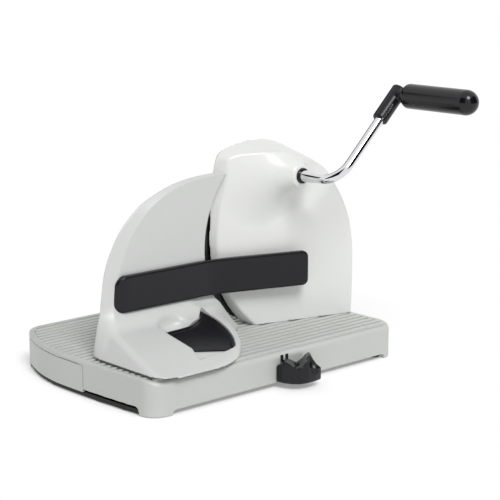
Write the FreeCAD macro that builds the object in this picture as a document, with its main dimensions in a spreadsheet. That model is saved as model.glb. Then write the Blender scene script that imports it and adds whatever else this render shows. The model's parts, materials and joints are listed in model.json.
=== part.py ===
"""Hand cranked bread slicer with a geared circular blade, a sliding guide and a crumb drawer.

Lengths are millimetres. The long side of the base lies along X, the crank side faces -Y and Z is up.
Positions are measured from the front left corner of the base, and every piece is then moved so that
the middle of the footprint, on the table, is the origin.
"""
import FreeCAD, Part
import math
import os

import Sketcher
from FreeCAD import Rotation, Vector

SIZES = {
    # base
    "base_length": 320.0,
    "base_depth": 237.0,
    "deck_top": 36.0,
    "deck_thickness": 3.0,
    "base_wall": 3.0,
    "skirt_lift": 5.0,
    "corner_lift": 0.8,
    "foot_length": 24.0,
    "right_foot_length": 13.0,
    "front_left_radius": 18.0,
    "rear_left_radius": 28.0,
    "right_radius": 12.0,
    "left_bow": 5.0,
    "left_bow_place": 130.0,
    "rear_sweep_radius": 190.0,
    "bevel_run": 12.0,
    "bevel_drop": 4.5,
    "rib_pitch": 8.5,
    "rib_groove_width": 2.6,
    "rib_groove_depth": 1.4,
    "rib_inset": 12.0,
    "bearing_half_width": 12.0,
    "bearing_depth": 4.0,
    "bearing_under": 8.0,
    "bottom_thickness": 4.0,
    "bottom_lift": 1.0,
    "seat_gap": 0.3,
    "part_gap": 0.4,
    "slide_gap": 0.3,
    # fasteners
    "screw_radius": 1.5,
    "screw_head_radius": 3.0,
    "screw_head_height": 2.0,
    "screw_gap": 0.08,
    "boss_radius": 4.5,
    "boss_length": 10.0,
    "housing_boss_height": 16.0,
    "base_screw_length": 14.0,
    "frame_screw_length": 6.0,
    "cover_screw_length": 5.0,
    "bar_screw_length": 7.0,
    "base_screw_left": 34.0,
    "base_screw_right": 30.0,
    "base_screw_front": 22.0,
    "base_screw_rear": 23.0,
    "base_screw_rear_left": 150.0,
    "housing_screw_left": 5.0,
    "housing_screw_left_depth": 16.5,
    "housing_screw_right": 20.0,
    "housing_screw_right_depth": 22.5,
    "frame_screw_left": 9.0,
    "frame_screw_right": 29.0,
    "frame_screw_low": 18.0,
    "frame_screw_middle": 37.0,
    "frame_screw_high": 47.0,
    "cover_screw_left": 43.0,
    "cover_screw_high": 74.0,
    "cover_screw_right": 55.0,
    "cover_screw_middle": 60.0,
    "cover_screw_low_left": 13.0,
    "cover_screw_low": 72.0,
    "cover_screw_low_right": 70.0,
    "bar_screw_left": 18.0,
    "bar_screw_right": 94.0,
    # rubber feet
    "rubber_radius": 7.0,
    "rubber_inset": 15.0,
    "rubber_front_left_shift": 3.0,
    "rubber_rear_left_shift": 36.0,
    # drawer
    "drawer_front_start": 99.5,
    "drawer_front_end": 214.0,
    "drawer_front_bottom": 5.5,
    "drawer_front_top": 31.5,
    "tray_reach": 125.0,
    "tray_wall": 2.0,
    "tray_top": 29.0,
    "tray_inset": 4.0,
    # blade and its drive
    "blade_diameter": 170.0,
    "blade_thickness": 1.2,
    "blade_bore": 30.0,
    "blade_wave": 1.0,
    "blade_waves": 54,
    "blade_place_x": 235.0,
    "blade_front": 110.0,
    "blade_height": 118.0,
    "slot_gap": 3.0,
    "slot_front_gap": 1.2,
    "gear_module": 1.5,
    "blade_gear_teeth": 72,
    "crank_gear_teeth": 28,
    "gear_backlash": 0.2,
    "gear_addendum": 0.95,
    "gear_dedendum": 1.2,
    "gear_pressure_angle": 20.0,
    "gear_width": 6.0,
    "gear_back": 105.0,
    "gear_hub_radius": 20.0,
    "gear_collar_radius": 12.0,
    "gear_hub_sink": 2.0,
    "gear_hub_room": 1.5,
    "lightening_holes": 6,
    "lightening_circle": 36.0,
    "lightening_radius": 9.0,
    "pinion_hub_radius": 8.0,
    "thrust_gap": 0.3,
    "axle_radius": 4.0,
    "shaft_fit": 0.05,
    "cap_radius": 27.0,
    "cap_height": 7.0,
    "cap_bevel": 2.0,
    "cap_slope": 6.0,
    "cap_screw_circle": 11.0,
    "clip_radius": 7.0,
    "clip_thickness": 1.0,
    "axle_head": 2.0,
    "axle_end_gap": 0.5,
    # gear housing
    "housing_back": 108.5,
    "housing_wall": 3.0,
    "housing_left_radius": 122.8,
    "housing_left_centre_x": 284.5,
    "housing_left_centre_z": 130.0,
    "housing_shoulder_z": 203.0,
    "housing_shoulder_x": 168.0,
    "housing_top_left_x": 181.0,
    "housing_top_left_z": 218.5,
    "housing_waist_rise": 10.0,
    "housing_turn_x": 3.5,
    "housing_turn_z": 11.3,
    "housing_crest": 3.0,
    "housing_dome_radius": 95.0,
    "housing_dome_x": 221.0,
    "housing_dome_z": 129.0,
    "housing_dome_angle": 80.0,
    "housing_edge_thickness": 9.0,
    "housing_slope": 14.5,
    "housing_rounding": 6.0,
    "hub_front": 50.0,
    "hub_tip_radius": 12.0,
    "hub_root_radius": 27.0,
    "hub_root_depth": 8.0,
    "hub_plug": 2.0,
    "frame_front": 93.5,
    "frame_thickness": 3.5,
    "frame_margin": 14.0,
    "frame_overhang": 24.0,
    "frame_right": 36.0,
    "frame_step": 8.0,
    "cover_front": 106.0,
    "cover_thickness": 2.0,
    # crank
    "rod_radius": 4.75,
    "bush_radius": 7.8,
    "bush_barrel_radius": 6.5,
    "bush_flange": 1.5,
    "bush_length": 15.0,
    "crank_plane": 0.0,
    "crank_bend_radius": 22.0,
    "crank_radius": 114.0,
    "crank_rest_angle": 44.0,
    "stub_radius": 3.0,
    "drive_flat": 3.6,
    "stub_overlap": 2.0,
    "arm_end_gap": 1.5,
    "socket_radius": 7.0,
    "socket_start": 86.0,
    "socket_end": 121.0,
    "socket_neck_radius": 6.0,
    "grip_start": 15.0,
    "grip_length": 88.0,
    "grip_radius": 12.5,
    "grip_neck_radius": 10.8,
    "grip_taper": 8.0,
    "grip_end_length": 10.0,
    "grip_end_ease": 0.8,
    "grip_end_turn": 4.0,
    "grip_end_step": 3.0,
    "grip_end_round": 8.0,
    "grip_pin_radius": 3.5,
    "grip_pin_depth": 60.0,
    # guide plate, foot and bar
    "slice_setting": 10.0,
    "slice_limit": 20.0,
    "slice_closed": 2.0,
    "fin_thickness": 6.0,
    "fin_foot_left": 14.5,
    "fin_edge_radius": 110.0,
    "fin_edge_x": 254.0,
    "fin_edge_z": 122.0,
    "fin_height": 198.2,
    "fin_low_in": 3.2,
    "fin_low_z": 84.0,
    "fin_middle_in": 9.5,
    "fin_middle_z": 119.0,
    "fin_shoulder_in": 39.5,
    "fin_shoulder_z": 167.5,
    "fin_brow_in": 92.5,
    "fin_brow_drop": 6.0,
    "fin_crest_in": 118.0,
    "fin_crest_drop": 1.3,
    "fin_tip_drop": 12.0,
    "fin_tip_in": 1.5,
    "fin_tip_bulge": 0.3,
    "fin_tip_bulge_drop": 4.0,
    "foot_front_overhang": 11.0,
    "foot_left": 2.5,
    "foot_edge_height": 4.0,
    "foot_slope": 16.7,
    "foot_level": 45.5,
    "foot_level_place": 20.0,
    "foot_sweep_start": 62.0,
    "foot_sweep_top": 76.5,
    "foot_sweep_bulge": 3.0,
    "foot_corner_back": 9.0,
    "foot_corner_in": 5.0,
    "foot_corner_step": 6.0,
    "foot_front_start": 21.0,
    "foot_front_end": 68.0,
    "foot_turn_in": 94.0,
    "foot_turn_back": 7.5,
    "foot_side_in": 117.0,
    "foot_side_back": 13.0,
    "foot_nose_run": 2.0,
    "foot_nose_drop": 3.2,
    "foot_lip_run": 7.0,
    "foot_lip_drop": 1.5,
    "foot_whole_height": 66.0,
    "foot_inner_in": 8.0,
    "foot_inner_height": 60.0,
    "bar_bottom": 77.0,
    "bar_top": 113.0,
    "bar_thickness": 6.0,
    "bar_corner_radius": 6.4,
    "bar_hole_depth": 3.2,
    "bar_left": 26.0,
    "bar_bend": 151.0,
    "bar_wing": 105.0,
    "bar_turn": 18.0,
    # runner under the deck
    "runner_length": 92.0,
    "runner_left": 40.0,
    "runner_front": 38.0,
    "runner_depth": 28.0,
    "runner_thickness": 4.5,
    "neck_width": 7.4,
    "neck_depth": 20.0,
    "neck_first": 50.0,
    "neck_second": 116.0,
    "neck_hole_depth": 10.0,
    # lever in the foot
    "lever_x": 60.0,
    "lever_y": 66.0,
    "lever_reach": 75.0,
    "lever_thickness": 3.5,
    "lever_level": 44.0,
    "lever_swing": 8.0,
    "lever_hub_radius": 9.0,
    "lever_pin_radius": 3.0,
    "lever_pin_length": 12.0,
    "lever_pin_sink": 11.2,
    "lever_window": 10.0,
    "lever_heel_x": 13.0,
    "lever_heel_y": 37.0,
    "lever_front_x": 54.5,
    "lever_front_y": 49.0,
    "lever_hollow_x": 57.0,
    "lever_hollow_y": 8.5,
    "lever_back_x": 41.0,
    "lever_back_y": 1.0,
    "lever_neck_x": 18.0,
    "lever_horn_angle": 17.5,
    "lever_rim_angle": 10.0,
    "lever_toe_angle": 38.5,
    # suction lock
    "knob_x": 172.0,
    "knob_z": 19.5,
    "knob_radius": 18.0,
    "knob_collar": 6.0,
    "knob_gap": 1.4,
    "mark_first": 159.0,
    "mark_second": 165.5,
    "mark_width": 3.0,
    "mark_thickness": 1.0,
    "mark_top": 31.5,
    "mark_bottom": 22.0,
    "knob_reach": 25.0,
    "knob_wing": 11.0,
    "knob_turn": 67.0,
    "knob_drum_step": 2.0,
    "knob_saddle_radius": 16.2,
    "knob_saddle_place": 8.0,
    "knob_core_step": 1.0,
    "knob_core_length": 9.0,
    "cam_shaft_radius": 4.0,
    "cam_shaft_end": 76.0,
    "cam_shaft_front": 11.8,
    "cam_bearing_back": 2.0,
    "cam_front": 50.0,
    "cam_width": 10.0,
    "cam_base_radius": 6.0,
    "cam_lift": 3.5,
    "cam_sweep": 90.0,
    "cam_return": 40.0,
    "cam_gap": 0.5,
    "cup_radius": 33.0,
    "cup_place": 55.0,
    "cup_lift": 0.5,
    "cup_height": 4.5,
    "cup_mouth_gap": 2.0,
    "cup_hollow": 1.5,
    "cup_lip": 1.0,
    "cup_shoulder": 15.0,
    "stud_radius": 2.5,
    "stud_length": 3.0,
    "yoke_wall": 3.0,
    "yoke_half_width": 12.0,
    "yoke_side_gap": 1.0,
}

PLANE_OF_TURN = {"along": "YZ_Plane", "upright": "XZ_Plane"}


class Size:
    """A size that carries both its value and the sheet expression that gives it."""

    def __init__(self, value, text):
        self.value = float(value)
        self.text = text

    def __add__(self, other):
        other = as_size(other)
        return Size(self.value + other.value, f"({self.text} + {other.text})")

    def __sub__(self, other):
        other = as_size(other)
        return Size(self.value - other.value, f"({self.text} - {other.text})")

    def __mul__(self, other):
        other = as_size(other)
        return Size(self.value * other.value, f"({self.text} * {other.text})")

    def __truediv__(self, other):
        other = as_size(other)
        return Size(self.value / other.value, f"({self.text} / {other.text})")

    def __neg__(self):
        return Size(-self.value, f"(0 - {self.text})")


def as_size(number):
    """Wrap a plain number as a Size."""
    if isinstance(number, Size):
        return number
    return Size(number, f"{number:g}")


class SheetSizes:
    """Gives each alias of the spreadsheet as a Size."""

    def __init__(self, sheet):
        for name in SIZES:
            setattr(self, name, Size(sheet.get(name), f"{sheet.Name}.{name}"))


def make_sheet(doc):
    """Write every driving dimension into the spreadsheet under its own alias."""
    sheet = doc.addObject("Spreadsheet::Sheet", "Sizes")
    for row, (name, value) in enumerate(SIZES.items(), start=1):
        sheet.set(f"A{row}", name)
        sheet.set(f"B{row}", f"{value:g}")
        sheet.setAlias(f"B{row}", name)
    doc.recompute()
    return sheet


doc = FreeCAD.newDocument("bread_slicer")
sheet = make_sheet(doc)
s = SheetSizes(sheet)
PIECES = []


def bind(thing, name, size):
    """Set a property and tie it to the spreadsheet."""
    size = as_size(size)
    if "." not in name:
        setattr(thing, name, size.value)
    thing.setExpression(name, size.text)


def put(thing, x, y, z):
    """Place a piece by its corner-frame position."""
    bind(thing, "Placement.Base.x", as_size(x) - s.base_length / 2)
    bind(thing, "Placement.Base.y", as_size(y) - s.base_depth / 2)
    bind(thing, "Placement.Base.z", as_size(z))


def piece(thing, label):
    """Register a finished sub-part under the name of its node."""
    thing.Label = label
    PIECES.append(thing)
    return thing


def shape_piece(label, shape):
    """Make a sub-part from a shape drawn in the corner frame."""
    thing = doc.addObject("Part::Feature", label)
    thing.Shape = shape.removeSplitter()
    put(thing, 0, 0, 0)
    return piece(thing, label)


def new_body(label):
    """Start a body for one sub-part."""
    body = doc.addObject("PartDesign::Body", label)
    return piece(body, label)


def sketch_on(body, role, name, offset=0):
    """Attach a new sketch to one of the body's own origin planes."""
    sketch = body.newObject("Sketcher::SketchObject", name)
    for feature in body.Origin.OriginFeatures:
        if feature.Role == role:
            sketch.AttachmentSupport = [(feature, "")]
    sketch.MapMode = "FlatFace"
    bind(sketch, "AttachmentOffset.Base.z", offset)
    return sketch


def pin_coordinate(sketch, kind, edge, end, size):
    """Fix one coordinate of a sketch point, on the axis itself when it is zero."""
    if size.value == 0:
        axis = -2 if kind == "DistanceX" else -1
        sketch.addConstraint(Sketcher.Constraint("PointOnObject", edge, end, axis))
        return
    index = sketch.addConstraint(Sketcher.Constraint(kind, -1, 1, edge, end, size.value))
    sketch.setExpression(f"Constraints[{index}]", size.text)


def draw_polygon(sketch, corners):
    """Draw a closed polygon whose corners are tied to the sheet."""
    corners = [(as_size(x), as_size(y)) for x, y in corners]
    count = len(corners)
    first = sketch.GeometryCount
    for index in range(count):
        x0, y0 = corners[index]
        x1, y1 = corners[(index + 1) % count]
        start = Vector(x0.value, y0.value, 0)
        end = Vector(x1.value, y1.value, 0)
        sketch.addGeometry(Part.LineSegment(start, end))
    for index in range(count):
        edge = first + index
        after = first + (index + 1) % count
        sketch.addConstraint(Sketcher.Constraint("Coincident", edge, 2, after, 1))
        pin_coordinate(sketch, "DistanceX", edge, 1, corners[index][0])
        pin_coordinate(sketch, "DistanceY", edge, 1, corners[index][1])


def draw_circle(sketch, x, y, radius):
    """Draw a circle tied to the sheet."""
    x, y, radius = as_size(x), as_size(y), as_size(radius)
    centre = Vector(x.value, y.value, 0)
    edge = sketch.addGeometry(Part.Circle(centre, Vector(0, 0, 1), radius.value))
    index = sketch.addConstraint(Sketcher.Constraint("Radius", edge, radius.value))
    sketch.setExpression(f"Constraints[{index}]", radius.text)
    if x.value == 0 and y.value == 0:
        sketch.addConstraint(Sketcher.Constraint("Coincident", edge, 3, -1, 1))
        return
    pin_coordinate(sketch, "DistanceX", edge, 3, x)
    pin_coordinate(sketch, "DistanceY", edge, 3, y)


def pad(body, sketch, length, backwards=False):
    """Pad a sketch by a bound length."""
    feature = body.newObject("PartDesign::Pad", sketch.Name + "_pad")
    feature.Profile = sketch
    feature.Reversed = backwards
    bind(feature, "Length", length)
    doc.recompute()
    return feature


def pocket_through(body, sketch):
    """Cut a sketch right through the body, both ways."""
    feature = body.newObject("PartDesign::Pocket", sketch.Name + "_pocket")
    feature.Profile = sketch
    feature.Type = "ThroughAll"
    feature.Midplane = True
    doc.recompute()
    return feature


def sink_heads(body, sketch, depth):
    """Cut a sketch on a back face down to a bound depth."""
    feature = body.newObject("PartDesign::Pocket", sketch.Name + "_sink")
    feature.Profile = sketch
    feature.Reversed = True
    bind(feature, "Length", depth)
    doc.recompute()
    return feature


def turned(label, way, profile, x, y, z):
    """Turn a profile of (distance along the axis, radius) about an axis through (x, y, z)."""
    body = new_body(label)
    sketch = sketch_on(body, PLANE_OF_TURN[way], label + "_profile")
    if way == "along":
        draw_polygon(sketch, profile)
        axis = "H_Axis"
    else:
        draw_polygon(sketch, [(radius, along) for along, radius in profile])
        axis = "V_Axis"
    turn = body.newObject("PartDesign::Revolution", label + "_turn")
    turn.Profile = sketch
    turn.ReferenceAxis = (sketch, [axis])
    turn.Angle = 360
    doc.recompute()
    put(body, x, y, z)
    return body


def plate_along(label, outline, holes, back, thickness):
    """Pad an outline of the XZ plane from its back face towards the front."""
    body = new_body(label)
    sketch = sketch_on(body, "XZ_Plane", label + "_outline", -as_size(back))
    draw_polygon(sketch, outline)
    pad(body, sketch, thickness)
    if holes:
        cuts = sketch_on(body, "XZ_Plane", label + "_holes", -as_size(back))
        for x, z, radius in holes:
            draw_circle(cuts, x, z, radius)
        pocket_through(body, cuts)
    put(body, 0, 0, 0)
    return body


def round_edges(body, feature, radius, pick):
    """Fillet the edges of a feature that the pick function accepts."""
    names = [f"Edge{n}" for n, edge in enumerate(feature.Shape.Edges, start=1) if pick(edge)]
    fillet = body.newObject("PartDesign::Fillet", feature.Name + "_round")
    fillet.Base = (feature, names)
    bind(fillet, "Radius", radius)
    doc.recompute()
    return fillet


def edge_middle(edge):
    """Middle point of an edge."""
    return edge.valueAt((edge.FirstParameter + edge.LastParameter) / 2)


def cylinder(radius, height, x, y, z, way):
    """A plain cylinder that starts at (x, y, z) and runs along the given axis."""
    return Part.makeCylinder(radius, height, Vector(x, y, z), way)


ALONG = Vector(0, 1, 0)
UP = Vector(0, 0, 1)
TOWARDS = Vector(0, -1, 0)
RIGHT = Vector(1, 0, 0)
TURN_TO = {"along": Rotation(RIGHT, -90), "towards": Rotation(RIGHT, 90), "up": Rotation()}


def screw_set(label, spots, way, length):
    """A set of equal screws, each with its head at the given spot and its shank along the way."""
    screws = []
    for number, (x, y, z) in enumerate(spots, start=1):
        head = doc.addObject("Part::Cylinder", f"{label}_head_{number}")
        bind(head, "Radius", s.screw_head_radius)
        bind(head, "Height", s.screw_head_height)
        shank = doc.addObject("Part::Cylinder", f"{label}_shank_{number}")
        bind(shank, "Radius", s.screw_radius)
        bind(shank, "Height", s.screw_head_height + length)
        screw = doc.addObject("Part::Fuse", f"{label}_{number}")
        screw.Base = head
        screw.Tool = shank
        screw.Placement.Rotation = TURN_TO[way]
        put(screw, x, y, z)
        screws.append(screw)
    group = doc.addObject("Part::Compound", label)
    group.Links = screws
    return piece(group, label)


def screw_hole(x, y, z, way, length):
    """The clearance left for one screw of a screw set."""
    radius = s.screw_radius.value + s.screw_gap.value
    head = cylinder(s.screw_head_radius.value + 3 * s.screw_gap.value,
                    s.screw_head_height.value, x, y, z, way)
    return head.fuse(cylinder(radius, s.screw_head_height.value + length, x, y, z, way))


def plain(spots):
    """The values of a list of points given as sizes."""
    return [tuple(place.value for place in spot) for spot in spots]


def joined(shapes):
    """Fuse a list of shapes."""
    return shapes[0].fuse(shapes[1:])


def box(x0, x1, y0, y1, z0, z1):
    """A box between two corners."""
    return Part.makeBox(x1 - x0, y1 - y0, z1 - z0, Vector(x0, y0, z0))


# Base

class Plan:
    """The plan of the base: one chain of arcs and lines that can be drawn at any inset."""

    def __init__(self):
        front = s.front_left_radius.value
        rear = s.rear_left_radius.value
        right = s.right_radius.value
        length = s.base_length.value
        depth = s.base_depth.value
        bow = s.left_bow.value
        middle = s.left_bow_place.value
        run = middle - front
        bow_radius = (run ** 2 + bow ** 2) / (2 * bow)
        bow_centre = Vector(bow_radius - bow, middle, 0)
        sweep_radius = s.rear_sweep_radius.value
        sweep_centre = Vector(sweep_radius - bow, middle, 0)
        front_x = bow_centre.x - math.sqrt((bow_radius - front) ** 2 - run ** 2)
        front_centre = Vector(front_x, front, 0)
        rear_y = depth - rear
        rear_x = sweep_centre.x - math.sqrt((sweep_radius - rear) ** 2 - (rear_y - middle) ** 2)
        rear_centre = Vector(rear_x, rear_y, 0)
        bow_angle = self.angle(bow_centre, front_centre)
        sweep_angle = self.angle(sweep_centre, rear_centre)
        self.arcs = [
            (front_centre, front, bow_angle, 270),
            (Vector(length - right, right, 0), right, 270, 360),
            (Vector(length - right, depth - right, 0), right, 0, 90),
            (rear_centre, rear, 90, sweep_angle),
            (sweep_centre, sweep_radius, sweep_angle, 180),
            (bow_centre, bow_radius, 180, bow_angle),
        ]

    @staticmethod
    def angle(centre, point):
        """Direction from one point to another, in degrees from 0 to 360."""
        return math.degrees(math.atan2(point.y - centre.y, point.x - centre.x)) % 360

    def face(self, inset):
        """The plan as a face, drawn in by the inset."""
        edges = []
        last = None
        for centre, radius, start, end in self.arcs:
            marks = []
            for angle in (start, (start + end) / 2, end):
                turn = math.radians(angle)
                reach = radius - inset
                marks.append(centre + Vector(math.cos(turn) * reach, math.sin(turn) * reach, 0))
            if last is not None and last.distanceToPoint(marks[0]) > 1e-6:
                edges.append(Part.LineSegment(last, marks[0]).toShape())
            edges.append(Part.Arc(*marks).toShape())
            last = marks[-1]
        first = edges[0].valueAt(edges[0].FirstParameter)
        if last.distanceToPoint(first) > 1e-6:
            edges.append(Part.LineSegment(last, first).toShape())
        return Part.Face(Part.Wire(edges))

    def slab(self, inset, bottom, top):
        """A slab of the plan between two heights."""
        face = self.face(inset)
        face.translate(Vector(0, 0, bottom))
        return face.extrude(Vector(0, 0, top - bottom))


plan = Plan()
deck_top = s.deck_top.value
deck_under = deck_top - s.deck_thickness.value
bottom_base = s.bottom_lift.value
bottom_top = bottom_base + s.bottom_thickness.value
far = 2 * s.base_length.value
blade_x = s.blade_place_x.value
blade_z = s.blade_height.value
crank_x = blade_x
pitch = s.gear_module.value
centre_gap = pitch * (s.blade_gear_teeth.value + s.crank_gear_teeth.value) / 2
crank_z = blade_z + centre_gap
knob_x = s.knob_x.value
knob_z = s.knob_z.value

BASE_SCREWS = [
    (s.base_screw_left, s.base_screw_front),
    (s.base_length - s.base_screw_right, s.base_screw_front),
    (s.base_length - s.base_screw_right, s.base_depth - s.base_screw_rear),
    (s.base_screw_rear_left, s.base_depth - s.base_screw_rear),
]
HOUSING_SCREWS = [
    (s.blade_place_x + s.housing_screw_left, s.housing_back - s.housing_screw_left_depth),
    (s.base_length - s.housing_screw_right, s.housing_back - s.housing_screw_right_depth),
]
RUBBER_SPOTS = [
    (s.rubber_inset + s.rubber_front_left_shift, s.rubber_inset + s.rubber_front_left_shift),
    (s.base_length - s.rubber_inset, s.rubber_inset),
    (s.base_length - s.rubber_inset, s.base_depth - s.rubber_inset),
    (s.rubber_inset + s.rubber_rear_left_shift, s.base_depth - s.rubber_inset),
    (s.base_length / 2, s.base_depth / 2),
]
OVERCUT = 1.0
TALL = 1.0
TOUCH = 0.01


def neck_spots():
    """Middle of each neck of the runner, in plan."""
    y = s.runner_front.value + s.runner_depth.value / 2
    return [(s.neck_first.value, y), (s.neck_second.value, y)]


def make_base_shell():
    """The white moulded base: ribbed deck, skirt, corner feet and the bosses under the deck."""
    wall = s.base_wall.value
    shell = plan.slab(0, s.corner_lift.value, deck_top)
    run = s.bevel_run.value
    bevel_low = deck_top - s.bevel_drop.value * (run + OVERCUT) / run
    bevel = Part.makePolygon([
        Vector(-far, -OVERCUT, bevel_low),
        Vector(-far, run, deck_top),
        Vector(-far, run, deck_top + OVERCUT),
        Vector(-far, -OVERCUT, deck_top + OVERCUT),
        Vector(-far, -OVERCUT, bevel_low),
    ])
    shell = shell.cut(Part.Face(bevel).extrude(Vector(2 * far, 0, 0)))
    hollow = plan.slab(wall, 0, deck_under)
    under_bevel = box(-far, far, -far, run, deck_under - s.bevel_drop.value, deck_top)
    shell = shell.cut(hollow.cut(under_bevel))
    foot = s.foot_length.value
    right_foot = s.base_length.value - s.right_foot_length.value
    lift = s.skirt_lift.value
    cuts = [
        box(foot, right_foot, -far, far, 0, lift),
        box(-far, far, foot, s.base_depth.value - foot, 0, lift),
    ]
    inset = s.rib_inset.value
    groove = s.rib_groove_width.value
    rows = int((s.base_depth.value - 2 * inset) / s.rib_pitch.value) + 1
    for row in range(rows):
        y = inset + row * s.rib_pitch.value
        cuts.append(box(inset, s.base_length.value - inset, y, y + groove,
                        deck_top - s.rib_groove_depth.value, deck_top + OVERCUT))
    cuts.append(cylinder(s.blade_diameter.value / 2 + s.slot_gap.value,
                         s.slot_front_gap.value + s.slot_gap.value,
                         blade_x, s.blade_front.value - s.slot_front_gap.value, blade_z, ALONG))
    travel_forward = s.slice_limit.value - s.slice_setting.value
    for x, y in neck_spots():
        width = s.neck_width.value / 2 + s.slide_gap.value
        reach = s.neck_depth.value / 2 + s.slide_gap.value
        cuts.append(box(x - width, x + width, y - reach - travel_forward,
                        y + reach + s.slice_setting.value - s.slice_closed.value,
                        deck_under - OVERCUT, deck_top + OVERCUT))
    cuts.append(box(-far, s.base_length.value / 4, s.drawer_front_start.value,
                    s.drawer_front_end.value, 0, s.drawer_front_top.value + s.part_gap.value))
    shell = shell.cut(cuts)
    boss = s.boss_radius.value
    posts = [cylinder(boss, deck_under - bottom_top + OVERCUT, x, y, bottom_top, UP)
             for x, y in plain(BASE_SCREWS)]
    bearing_back = s.cam_shaft_end.value - s.cam_bearing_back.value
    bearing = box(knob_x - s.bearing_half_width.value, knob_x + s.bearing_half_width.value,
                  bearing_back - s.bearing_depth.value, bearing_back,
                  knob_z - s.bearing_under.value, deck_under + OVERCUT)
    shell = joined([shell, bearing] + posts)
    shaft = s.cam_shaft_radius.value + s.shaft_fit.value
    holes = [cylinder(shaft, s.cam_shaft_end.value + 2 * OVERCUT, knob_x, -OVERCUT, knob_z, ALONG)]
    for x, y in plain(BASE_SCREWS):
        holes.append(screw_hole(x, y, bottom_base, UP, s.base_screw_length.value))
    for x, y in plain(HOUSING_SCREWS):
        holes.append(screw_hole(x, y, deck_under - s.screw_head_height.value, UP,
                                s.base_screw_length.value))
    return shell.cut(holes)


def make_bottom_plate():
    """The black plate that closes the base from below."""
    plate = plan.slab(s.base_wall.value + s.part_gap.value, bottom_base, bottom_top)
    mouth = s.cup_radius.value + s.cup_mouth_gap.value
    holes = [cylinder(mouth, far, knob_x, s.cup_place.value, -OVERCUT, UP)]
    for x, y in plain(BASE_SCREWS):
        holes.append(screw_hole(x, y, bottom_base, UP, s.base_screw_length.value))
    return plate.cut(holes)


def make_rubber_feet():
    """Five round pads under the bottom plate: one near each corner and one in the middle."""
    pads = []
    for number, (x, y) in enumerate(RUBBER_SPOTS, start=1):
        rubber = doc.addObject("Part::Cylinder", f"rubber_pad_{number}")
        bind(rubber, "Radius", s.rubber_radius)
        bind(rubber, "Height", s.bottom_lift)
        put(rubber, x, y, 0)
        pads.append(rubber)
    group = doc.addObject("Part::Compound", "rubber_feet")
    group.Links = pads
    piece(group, "rubber_feet")


shape_piece("base_shell", make_base_shell())
shape_piece("bottom_plate", make_bottom_plate())
make_rubber_feet()
screw_set("base_screws", [(x, y, s.bottom_lift) for x, y in BASE_SCREWS], "up", s.base_screw_length)


# Crumb drawer

def make_drawer_front():
    """The curved drawer front, which closes the left end of the base."""
    low = s.drawer_front_bottom.value
    high = s.drawer_front_top.value
    gap = s.part_gap.value
    ring = plan.slab(0, low, high).cut(plan.slab(s.base_wall.value, low - OVERCUT, high + OVERCUT))
    return ring.common(box(-far, s.base_length.value / 4, s.drawer_front_start.value + gap,
                           s.drawer_front_end.value - gap, low, high))


def make_drawer_tray():
    """The open tray behind the drawer front."""
    wall = s.tray_wall.value
    inset = s.base_wall.value
    start = s.drawer_front_start.value + s.tray_inset.value
    end = s.drawer_front_end.value - s.tray_inset.value
    floor = bottom_top + s.slide_gap.value
    body = plan.slab(inset, floor, s.tray_top.value)
    body = body.common(box(-far, s.tray_reach.value, start, end, floor, s.tray_top.value))
    room = plan.slab(inset + wall, floor + wall, s.tray_top.value + OVERCUT)
    room = room.common(box(-far, s.tray_reach.value - wall, start + wall, end - wall,
                           floor + wall, s.tray_top.value + OVERCUT))
    return body.cut(room)


shape_piece("drawer_front", make_drawer_front())
shape_piece("drawer_tray", make_drawer_tray())


# Gear housing

def housing_outline():
    """Front view of the housing as a face at its back plane."""
    y = s.housing_back.value
    radius = s.housing_left_radius.value
    left = Vector(s.housing_left_centre_x.value, y, s.housing_left_centre_z.value)
    dome = Vector(s.housing_dome_x.value, y, s.housing_dome_z.value)
    dome_radius = s.housing_dome_radius.value

    def on_left(z):
        return Vector(left.x - math.sqrt(radius ** 2 - (z - left.z) ** 2), y, z)

    def on_dome(angle):
        turn = math.radians(angle)
        return dome + Vector(math.cos(turn) * dome_radius, 0, math.sin(turn) * dome_radius)

    foot = on_left(deck_top)
    waist = on_left(left.z + s.housing_waist_rise.value)
    shoulder = Vector(s.housing_shoulder_x.value, y, s.housing_shoulder_z.value)
    brow = Vector(s.housing_top_left_x.value, y, s.housing_top_left_z.value)
    crown = on_dome(s.housing_dome_angle.value)
    side = on_dome(0)
    corner = Vector(side.x, y, deck_top)
    turn_in = shoulder + Vector(s.housing_turn_x.value, 0, s.housing_turn_z.value)
    crest = (brow + crown) / 2 + Vector(0, 0, s.housing_crest.value)
    edges = [
        Part.Arc(foot, on_left((deck_top + waist.z) / 2), waist).toShape(),
        Part.LineSegment(waist, shoulder).toShape(),
        Part.Arc(shoulder, turn_in, brow).toShape(),
        Part.Arc(brow, crest, crown).toShape(),
        Part.Arc(crown, on_dome(s.housing_dome_angle.value / 2), side).toShape(),
        Part.LineSegment(side, corner).toShape(),
        Part.LineSegment(corner, foot).toShape(),
    ]
    return Part.Face(Part.Wire(edges))


def housing_wedge(inset):
    """Everything behind the sloping front of the housing, drawn in by the inset."""
    slope = math.tan(math.radians(s.housing_slope.value))
    left = s.housing_left_centre_x.value - s.housing_left_radius.value
    lean = inset / math.cos(math.radians(s.housing_slope.value))
    front = s.housing_back.value - s.housing_edge_thickness.value + lean
    reach = s.base_length.value
    corners = [
        Vector(left - reach, s.housing_back.value, 0),
        Vector(left - reach, front + slope * reach, 0),
        Vector(left + reach, front - slope * reach, 0),
        Vector(left + reach, s.housing_back.value, 0),
        Vector(left - reach, s.housing_back.value, 0),
    ]
    if front + slope * reach > s.housing_back.value:
        run = (s.housing_back.value - front) / slope
        corners = [Vector(left - run, s.housing_back.value, 0)] + corners[2:4]
        corners.append(corners[0])
    return Part.Face(Part.makePolygon(corners)).extrude(Vector(0, 0, reach))


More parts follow.
